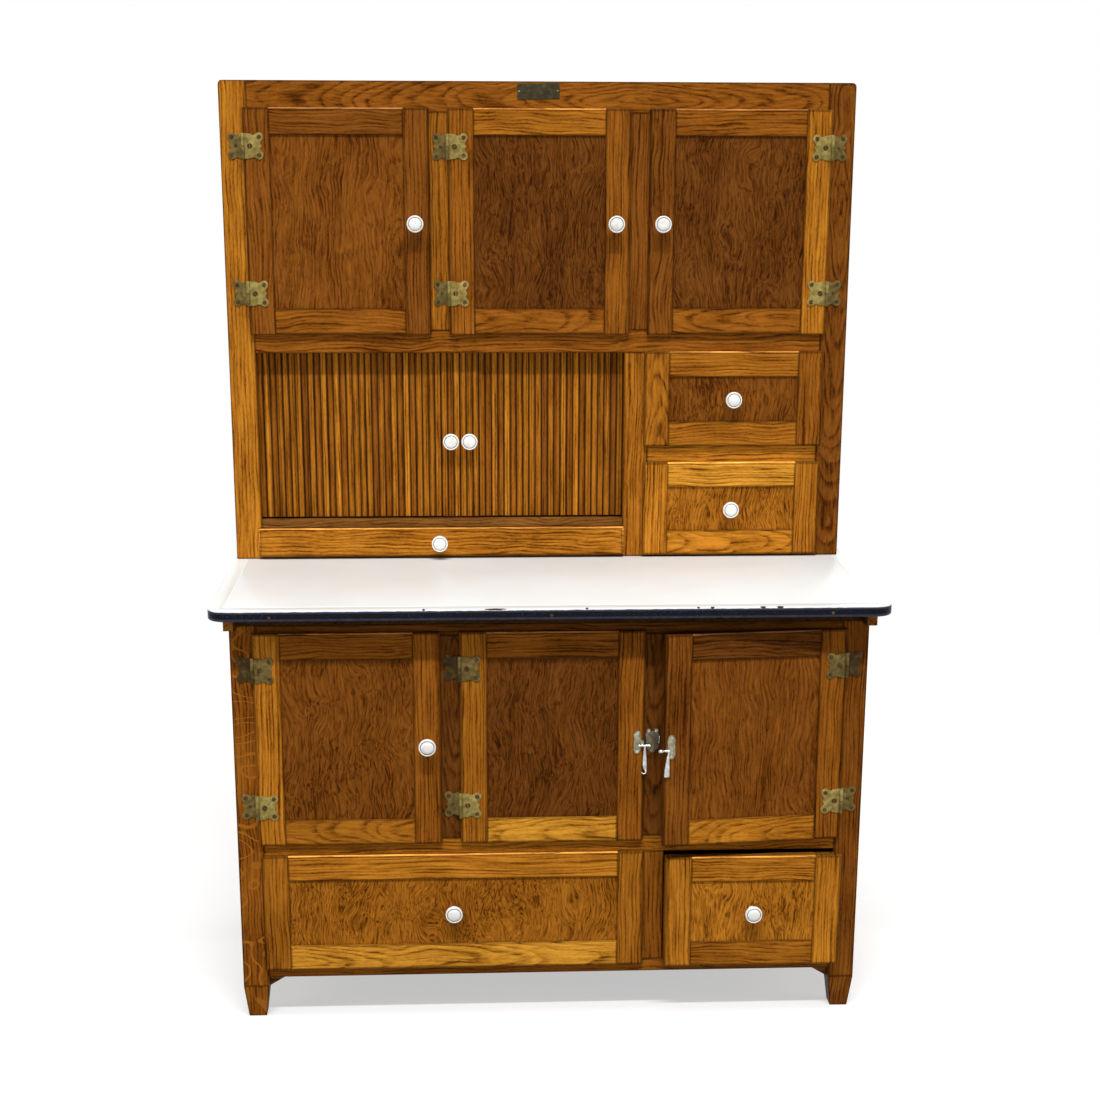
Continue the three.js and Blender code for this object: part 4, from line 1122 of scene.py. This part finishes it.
def hinge(node_name, door, z_middle, pin, side):
    """Both leaves of a hinge. side is -1 where the frame leaf lies to the left of the pin."""
    face = pin.y + PIN_PROUD
    door_front = face - FRONT_THICK / 2
    for leaf, toward, front, rides in ((FRAME_LEAF, side, face - LEAF_THICK, "cabinet"),
                                       (DOOR_LEAF, -side, door_front - LEAF_THICK, door)):
        on_frame = rides == "cabinet"
        bm = bmesh.new()
        knuckle_low = -KNUCKLE_HIGH if on_frame else KNUCKLE_GAP
        knuckle(bm, pin.y - front, knuckle_low, knuckle_low + KNUCKLE_HIGH - KNUCKLE_GAP)
        plate(bm, leaf_outline(leaf["root"], leaf["nick"], leaf["reach"]), LEAF_THICK, LEAF_EASED,
              LEAF_BORDER, LEAF_SINK)
        if on_frame:
            block(bm, (RISER_GAP, pin.y - front, -RISER_HIGH / 2),
                  (RISER_GAP + LEAF_THICK, LEAF_THICK, RISER_HIGH / 2))
        x, z = leaf["reach"] - LOBE, HINGE_HIGH / 2 - LOBE
        screw(bm, x, 0, z, SCREW_HEAD, f"{node_name}{rides}0")
        screw(bm, x, 0, -z, SCREW_HEAD, f"{node_name}{rides}1")
        screw(bm, leaf["middle"], 0, 0, leaf["head"], f"{node_name}{rides}2")
        settle(bm, toward, (pin.x, front, z_middle))
        if rides == AJAR_DOOR:
            swing_open(bm)
        name = f"{node_name}_{'frame' if on_frame else 'door'}_leaf"
        # Each frame leaf takes a darker brass as painted shade beside the knuckle; the upper base
        # hinges take a darker brass again, for dirt.
        darker = on_frame + (node_name.startswith("base") and "upper" in node_name)
        put(name, bm, rides, [(BRASS, BROWN_BRASS_FOR_DIRT_AND_SHADE, DARK_BRASS)[darker], OLD_SCREW],
            [node_name] if on_frame else (), 35)


for door in DOOR_TONES:
    for place in ("upper", "lower"):
        node_name = f"{door}_{place}_hinge"
        low, high = box_mm(node_name)
        hinge(node_name, door, (low.z + high.z) / 2, joint_place(f"{door}_hinge"),
              1 if "right" in door else -1)

# ---------------------------------------------------------------- latches
# Two cast latches plated with nickel hold the doors to one keeper. Each has a screwed plate with
# a boss, and a lever whose arm reaches over the keeper and whose strap hangs down as a handle.

LATCH_PLATE_THICK = 2.6
LATCH_PLATE_RISE = 6
LATCH_SCREW = 2.7
LATCH_SCREW_INSET = 5.5
BOSS = 5.2
BOSS_TALL = 4
NICKEL = worn_metal("polished_nickel_plate", "#c4c4c2", "#77736a", "#ecece9", 0.2, 0.95)
DULL_NICKEL = worn_metal("dulled_nickel_plate", "#8f8b76", "#57523f", "#bfbba4", 0.36, 0.8)
WORN_NICKEL = worn_metal("nickel_worn_to_the_iron", "#6e6450", "#453b2e", "#988d74", 0.4, 0.6)


def swept(bm, stations):
    """A bar through stations of x, z, half width, half thickness and turn in degrees, where a
    turn of 0 runs downwards."""
    rings = []
    for x, z, wide, thick, turned in stations:
        ring = bmesh.ops.create_circle(bm, segments=12, radius=1)["verts"]
        bmesh.ops.scale(bm, vec=(wide, thick, 1), verts=ring)
        turn(bm, ring, math.radians(turned), "Y")
        bmesh.ops.translate(bm, vec=(x, 0, z), verts=ring)
        rings.append(list({e for v in ring for e in v.link_edges}))
    for one, next_one in zip(rings, rings[1:]):
        bmesh.ops.bridge_loops(bm, edges=one + next_one)
    for end in (rings[0], rings[-1]):
        bmesh.ops.contextual_create(bm, geom=end)


# Each lever is an arm that stands out to one side, and a strap that hangs from it.
CURLED_LEVER = (
    ((2, 0, 2.2, 2.0, -90), (8, 0, 2.4, 2.0, -90), (20, 0, 2.4, 2.2, -90),
     (24.5, -0.4, 2.9, 2.2, -90), (27, -0.5, 2.4, 1.8, -90), (28, -0.6, 1.2, 1.0, -90)),
    ((14.6, 1.5, 2.0, 1.6, 0), (14.7, -4, 2.4, 1.7, 0), (15, -14, 3.2, 1.5, 0),
     (15.3, -26, 4.2, 1.4, 0), (15.4, -38, 4.6, 1.4, 0), (15.8, -46, 3.9, 1.4, -2),
     (17.2, -50.5, 2.1, 1.4, 2), (17.0, -53.5, 1.7, 1.5, 25), (14.6, -56, 1.6, 1.5, 75),
     (11.6, -55.6, 1.5, 1.5, 115), (9.6, -53, 1.3, 1.4, 150), (9.2, -52, 0.5, 0.7, 160)),
)
STRAIGHT_LEVER = (
    ((4, 0, 2.6, 2.6, -90), (12, 0, 2.4, 2.4, -90), (15, 0, 1.5, 1.6, -90),
     (16.4, 0, 2.6, 2.6, -90), (18, 0, 3.4, 3.2, -90), (22, 0, 3.7, 3.4, -90),
     (24.6, 0, 2.9, 2.6, -90), (25.6, 0, 1.2, 1.2, -90)),
    ((6, 2, 2.2, 2.0, 0), (5.6, -6, 1.6, 1.7, 0), (6.4, -10, 2.2, 1.6, 0),
     (7.4, -22, 3.6, 1.5, 0), (8.2, -36, 4.6, 1.4, 0), (8.5, -50, 5.2, 1.4, 0),
     (8.5, -51.6, 4.68, 1.12, 0), (8.5, -52.4, 3.12, 0.56, 0)),
)


def boss(bm, x, z):
    """A short round boss with a ring turned into its face."""
    before = set(bm.verts)
    made = bmesh.ops.create_cone(bm, cap_ends=True, segments=20, radius1=BOSS,
                                 radius2=BOSS * 0.86, depth=BOSS_TALL)["verts"]
    top = max(faces_of(made), key=lambda f: f.calc_center_median().z)
    bmesh.ops.inset_region(bm, faces=[top], thickness=BOSS * 0.3)
    bmesh.ops.inset_region(bm, faces=[top], thickness=BOSS * 0.12, depth=-BOSS_TALL * 0.2)
    turned = made_since(bm, before)
    turn(bm, turned, math.pi / 2, "X")
    bmesh.ops.translate(bm, vec=(x, LATCH_PLATE_THICK - BOSS_TALL / 2, z), verts=turned)


def lobed_strap(width, height):
    """A narrow plate with a round lobe at each end and stepped shoulders."""
    w, h, r = width / 2, height / 2, width * 0.36
    lower = [(-w, -h + r + 5.5), (-w, -h + r + 3.5)] + arc(-0.4, -h + r, r, 190, 350, 8)
    lower += [(w, -h + r + 3.5), (w, -h + r + 5.5), (w - 0.8, -h + r + 9)]
    return lower + [(-x, -z) for x, z in lower]


# Which way each latch points, its lever, its plate's width and height, and where its boss lies.
LATCHES = {
    "base_middle_door": (1, CURLED_LEVER, (14.2, 46), (8.5, 6.0)),
    "base_right_door": (-1, STRAIGHT_LEVER, (15.4, 48), (6.5, 0.0)),
}
for door, (toward, lever, (wide, tall), (boss_x, boss_z)) in LATCHES.items():
    pin = joint_place(f"{door}_latch_lever_pivot")
    if door == AJAR_DOOR:
        line = joint_place(f"{door}_hinge")
        line.z = 0
        pin = Matrix.Rotation(-AJAR_TURN, 3, "Z") @ (pin - line) + line
    front = door_box(door)[0].y - LATCH_PLATE_THICK
    bm = bmesh.new()
    plate(bm, lobed_strap(wide, tall), LATCH_PLATE_THICK, 0.6, 1.2, 0.3)
    for end in (-1, 1):
        screw(bm, 0, 0, end * (tall / 2 - LATCH_SCREW_INSET), LATCH_SCREW, door)
    boss(bm, boss_x, boss_z - LATCH_PLATE_RISE)
    settle(bm, toward, (pin.x, front, pin.z + LATCH_PLATE_RISE))
    if door == AJAR_DOOR:
        swing_open(bm)
    put(f"{door}_latch_casting", bm, door, [DULL_NICKEL, NICKEL],
        [f"{door}_latch_plate"], 35)
    bm = bmesh.new()
    for bar in lever:
        swept(bm, bar)
    settle(bm, toward, pin)
    if door == AJAR_DOOR:
        swing_open(bm)
    put(f"{door}_latch_handle", bm, f"{door}_latch_lever", [NICKEL],
        [f"{door}_latch_lever"], 60)

# ---------------------------------------------------------------- latch keeper
# One cast plate between the two doors, whose nickel is worn through to the iron. Two screws hold
# its crown, and a raised rib at each flank stops a lever.

KEEPER_THICK = 2.0
KEEPER_SCREWS = (-7.0, 7.4)
KEEPER_SCREW = 2.6
KEEPER_CROWN = 19.6
# One flank, from its shoulder down to its foot, and where the ribs stand and how far they lean.
KEEPER_FLANK = ((-13.5, 8), (-15.2, 3), (-14.6, -8), (-10.5, -17), (-6, -19.5), (-3.5, -23.5))
KEEPER_RIBS = ((-13.6, 4), (13.6, -4))
crown = arc(KEEPER_SCREWS[1], KEEPER_CROWN, 4.6, -20, 185, 7)
crown += arc(KEEPER_SCREWS[0], KEEPER_CROWN, 4.8, -5, 200, 7)
bm = bmesh.new()
plate(bm, crown + list(KEEPER_FLANK) + [(-x, z) for x, z in reversed(KEEPER_FLANK)],
      KEEPER_THICK, 0.5, 1.8, 0.6)
for x in KEEPER_SCREWS:
    screw(bm, x, 0, KEEPER_CROWN, KEEPER_SCREW, f"keeper{x}")
for x, lean in KEEPER_RIBS:
    before = set(bm.verts)
    swept(bm, [(0, 8, 0.5, 0.8, 0), (0, 6, 1.1, 1.6, 0), (lean / 8, 0, 1.3, 2.0, 0),
               (lean / 4, -7, 1.1, 1.7, 0), (lean / 3, -9, 0.5, 0.8, 0)])
    rib = made_since(bm, before)
    give_finish(rib, 1)
    bmesh.ops.translate(bm, vec=(x, -0.3, 2), verts=rib)
low, high = box_mm("latch_keeper")
middle = (low + high) / 2
settle(bm, 1, (middle.x, low.y, middle.z))
put("latch_keeper_casting", bm, "cabinet", [WORN_NICKEL, NICKEL], ["latch_keeper"], 35)

# ---------------------------------------------------------------- plate on the top rail
# A thin bare brass plate, gone nearly black, held on the top rail by a nail at each end.

RAIL_PLATE_WIDE = 83
RAIL_PLATE_HIGH = 30
RAIL_PLATE_THICK = 1.0
RAIL_PLATE_CORNER = 2
RAIL_PLATE_MIDDLE = (-7.5, 1759.5)
RAIL_PLATE_LEAN = math.radians(-1.0)
NAIL_HEAD = 1.9
NAIL_INSET = 3.5
DARK_PLATE = worn_metal("blackened_sheet_brass", "#3f3922", "#231e10", "#5c5534", 0.6, 0.15)

w, h = RAIL_PLATE_WIDE / 2, RAIL_PLATE_HIGH / 2
bm = bmesh.new()
round_by = RAIL_PLATE_CORNER
corner = arc(w - round_by, h - round_by, round_by, 0, 90, 3)
upper = corner + [(-x, z) for x, z in reversed(corner)]
plate(bm, upper + [(-x, -z) for x, z in upper], RAIL_PLATE_THICK, 0.3, 1.6, 0.25)
for x in (NAIL_INSET - w, w - NAIL_INSET):
    before = set(bm.verts)
    bmesh.ops.create_uvsphere(bm, u_segments=12, v_segments=8, radius=NAIL_HEAD)
    nail = made_since(bm, before)
    bmesh.ops.scale(bm, vec=(1, 0.6, 1), verts=nail)
    bmesh.ops.translate(bm, vec=(x, 0, 0.5), verts=nail)
    give_finish(nail, 1)
turn(bm, bm.verts, RAIL_PLATE_LEAN, "Y")
rail_face = box_mm("hutch_face_frame")[0].y
x, z = RAIL_PLATE_MIDDLE
bmesh.ops.translate(bm, vec=(x, rail_face - RAIL_PLATE_THICK, z), verts=bm.verts)
put("top_rail_plate", bm, "cabinet", [DARK_PLATE, BRASS], (), 35)

# ---------------------------------------------------------------- rim screws
# Three slotted brass screws fasten the enamelled pan to its wooden underframe along the front.

RIM_SCREWS = (-520, -3, 519)
RIM_SCREW_HIGH = 821
RIM_SCREW = 2.7
bm = bmesh.new()
rim_front = box_mm("worktop_enamel")[0].y
for x in RIM_SCREWS:
    screw(bm, x, rim_front, RIM_SCREW_HIGH, RIM_SCREW, f"rim{x}")
put("worktop_rim_screws", bm, "worktop", [BRASS, OLD_SCREW], (), 35)

# ---------------------------------------------------------------- tambour
# Two curtains of narrow rounded oak slats glued to canvas, which slide apart in a groove. Each
# ends in a stiff rail cut to look like more slats, with its knob on it.

SLAT_PITCH = 12.7
SLAT_GAP = 1.0
SLAT_ROUND = 1.3
# How far in from its edges each slat is darkened, for dirt and as painted shade.
SLAT_DIRT_AND_SHADE = 1.2
SLAT_RISE = 3
SLAT_TONES = ("honey", "amber", "honey", "golden", "honey", "amber", "honey", "golden",
              "chestnut", "amber", "honey")
CANVAS_THICK = 1.0
CANVAS_SCALE = 320.0
STIFFENER_THICK = 4


def slats(bm, name, low, high, tone_shift):
    """Upright slats side by side between two corners; tone_shift sets where their tones begin."""
    count = round((high.x - low.x) / SLAT_PITCH)
    step = (high.x - low.x) / count
    for n in range(count):
        x = low.x + n * step
        tone = SLAT_TONES[(n * 5 + tone_shift) * 7 % len(SLAT_TONES)]
        board(bm, (x + SLAT_GAP / 2, low.y, low.z + SLAT_RISE),
              (x + step - SLAT_GAP / 2, high.y - CANVAS_THICK, high.z), Z, Y, tone,
              "slat", f"{name}{n}", ("left", "right"), SLAT_ROUND, dirt_and_shade=SLAT_DIRT_AND_SHADE)


def canvas():
    """Plain woven cotton, brown with glue. Real threads are 0.5 mm apart; these are drawn 1 mm
    apart, and still show only close to."""
    material, tree = new_material("glued_cotton_canvas")
    place = node(tree, "TexCoord").outputs["Object"]
    weave = node(tree, "TexWave", {"Vector": place, "Scale": CANVAS_SCALE}, bands_direction="Z")
    cross = node(tree, "TexWave", {"Vector": place, "Scale": CANVAS_SCALE}, bands_direction="X")
    thread = node(tree, "Math", {0: weave, 1: cross}, operation="MULTIPLY")
    colour = node(tree, "Mix", {0: thread, 6: linear("#2e2013"), 7: linear("#5b452b")},
                  data_type="RGBA")
    bump = node(tree, "Bump", {"Height": thread, "Strength": 0.4, "Distance": 0.0003})
    body = node(tree, "BsdfPrincipled", {"Base Color": colour, "Roughness": 0.9, "Normal": bump})
    node(tree, "OutputMaterial", {"Surface": body})
    return material


CANVAS = canvas()
for name, toward in (("left_tambour", -1), ("right_tambour", 1)):
    low, high = box_mm(f"{name}_curtain")
    bm = wooden_bmesh()
    slats(bm, name, low, high, 3 * toward)
    curtain = put(f"{name}_slats", bm, name, [OAK], [f"{name}_curtain"])
    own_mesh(curtain)
    bm = bmesh.new()
    block(bm, (low.x, high.y - CANVAS_THICK, low.z + SLAT_RISE),
          (high.x, high.y, high.z - SLAT_RISE))
    bevel(bm, bm.edges[:], 0.3, 1)
    backing = put(f"{name}_canvas", bm, name, [CANVAS])
    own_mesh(backing)
    low, high = box_mm(f"{name}_lead_rail")
    bm = wooden_bmesh()
    slats(bm, name + "lead", low, high, 4 + toward)
    board(bm, (low.x + SLAT_GAP, high.y - STIFFENER_THICK, low.z),
          (high.x - SLAT_GAP, high.y, high.z), Z, Y, "amber", "straight", name + "stiffener")
    put(f"{name}_stiff_slats", bm, name, [OAK], [f"{name}_lead_rail"])

# ---------------------------------------------------------------- knobs
# Turned porcelain knobs, glazed white, each with a fine ring pressed into its face and held by a
# bolt from behind.

KNOB_PROFILE = ((0, 0), (9.5, 0), (9.0, 1.5), (7.6, 4), (7.5, 8), (8.6, 11), (11.8, 13.6),
                (15.0, 15.8), (16.5, 18.4), (16.8, 20.8), (16.6, 23.4), (16.0, 25.2), (15.1, 26.0),
                (14.2, 25.9), (13.6, 25.2), (13.3, 24.3), (12.3, 24.3), (11.9, 25.4), (11.2, 26.1),
                (8, 26.8), (4, 27.2), (0, 27.3))
RING_GROOVE = (12.2, 13.7)
KNOB_FACE = 20


def porcelain(name, clean, stained):
    """Glazed white porcelain, with faint stains in the glaze."""
    material, tree = new_material(name)
    place = node(tree, "TexCoord").outputs["Object"]
    cloudy = node(tree, "TexNoise", {"Vector": place, "Scale": 90.0, "Detail": 3.0})
    stain = node(tree, "MapRange", {0: cloudy, 1: 0.5, 2: 0.75})
    colour = node(tree, "Mix", {0: stain, 6: linear(clean), 7: linear(stained)}, data_type="RGBA")
    bump = node(tree, "Bump", {"Height": cloudy, "Strength": 0.12, "Distance": 0.0004})
    body = node(tree, "BsdfPrincipled", {"Base Color": colour, "Roughness": 0.15,
                                         "Normal": bump, "IOR": 1.5,
                                         "Specular IOR Level": 0.35})
    node(tree, "OutputMaterial", {"Surface": body})
    return material


PORCELAIN = porcelain("glazed_porcelain", "#f1f1ee", "#dfdace")
# The ring's groove is glazed grey, for grime and as painted shade in the groove.
GRIME_AND_SHADE_GLAZE = porcelain("grime_and_painted_shade_in_the_ring", "#8f8c84", "#77736a")
for name in [n for n in frame["nodes"] if n.endswith("_knob")]:
    low, high = box_mm(name)
    root = Vector(((low.x + high.x) / 2, high.y, (low.z + high.z) / 2))
    bm = bmesh.new()
    ring = [bm.verts.new((r, -h, 0)) for r, h in KNOB_PROFILE]
    line = [bm.edges.new(pair) for pair in zip(ring, ring[1:])]
    bmesh.ops.spin(bm, geom=ring + line, cent=(0, 0, 0), axis=(0, 1, 0), angle=2 * math.pi,
                   steps=32, use_merge=True)
    bmesh.ops.remove_doubles(bm, verts=bm.verts, dist=0.01)
    bmesh.ops.recalc_face_normals(bm, faces=bm.faces)
    for face in bm.faces:
        radii = [math.hypot(v.co.x, v.co.z) for v in face.verts]
        in_ring = RING_GROOVE[0] < min(radii) and max(radii) < RING_GROOVE[1]
        face.material_index = int(in_ring and face.calc_center_median().y < -KNOB_FACE)
    bmesh.ops.translate(bm, vec=root, verts=bm.verts)
    put(f"{name}_glazed", bm, frame["nodes"][name]["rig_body"],
        [PORCELAIN, GRIME_AND_SHADE_GLAZE], [name], 50)
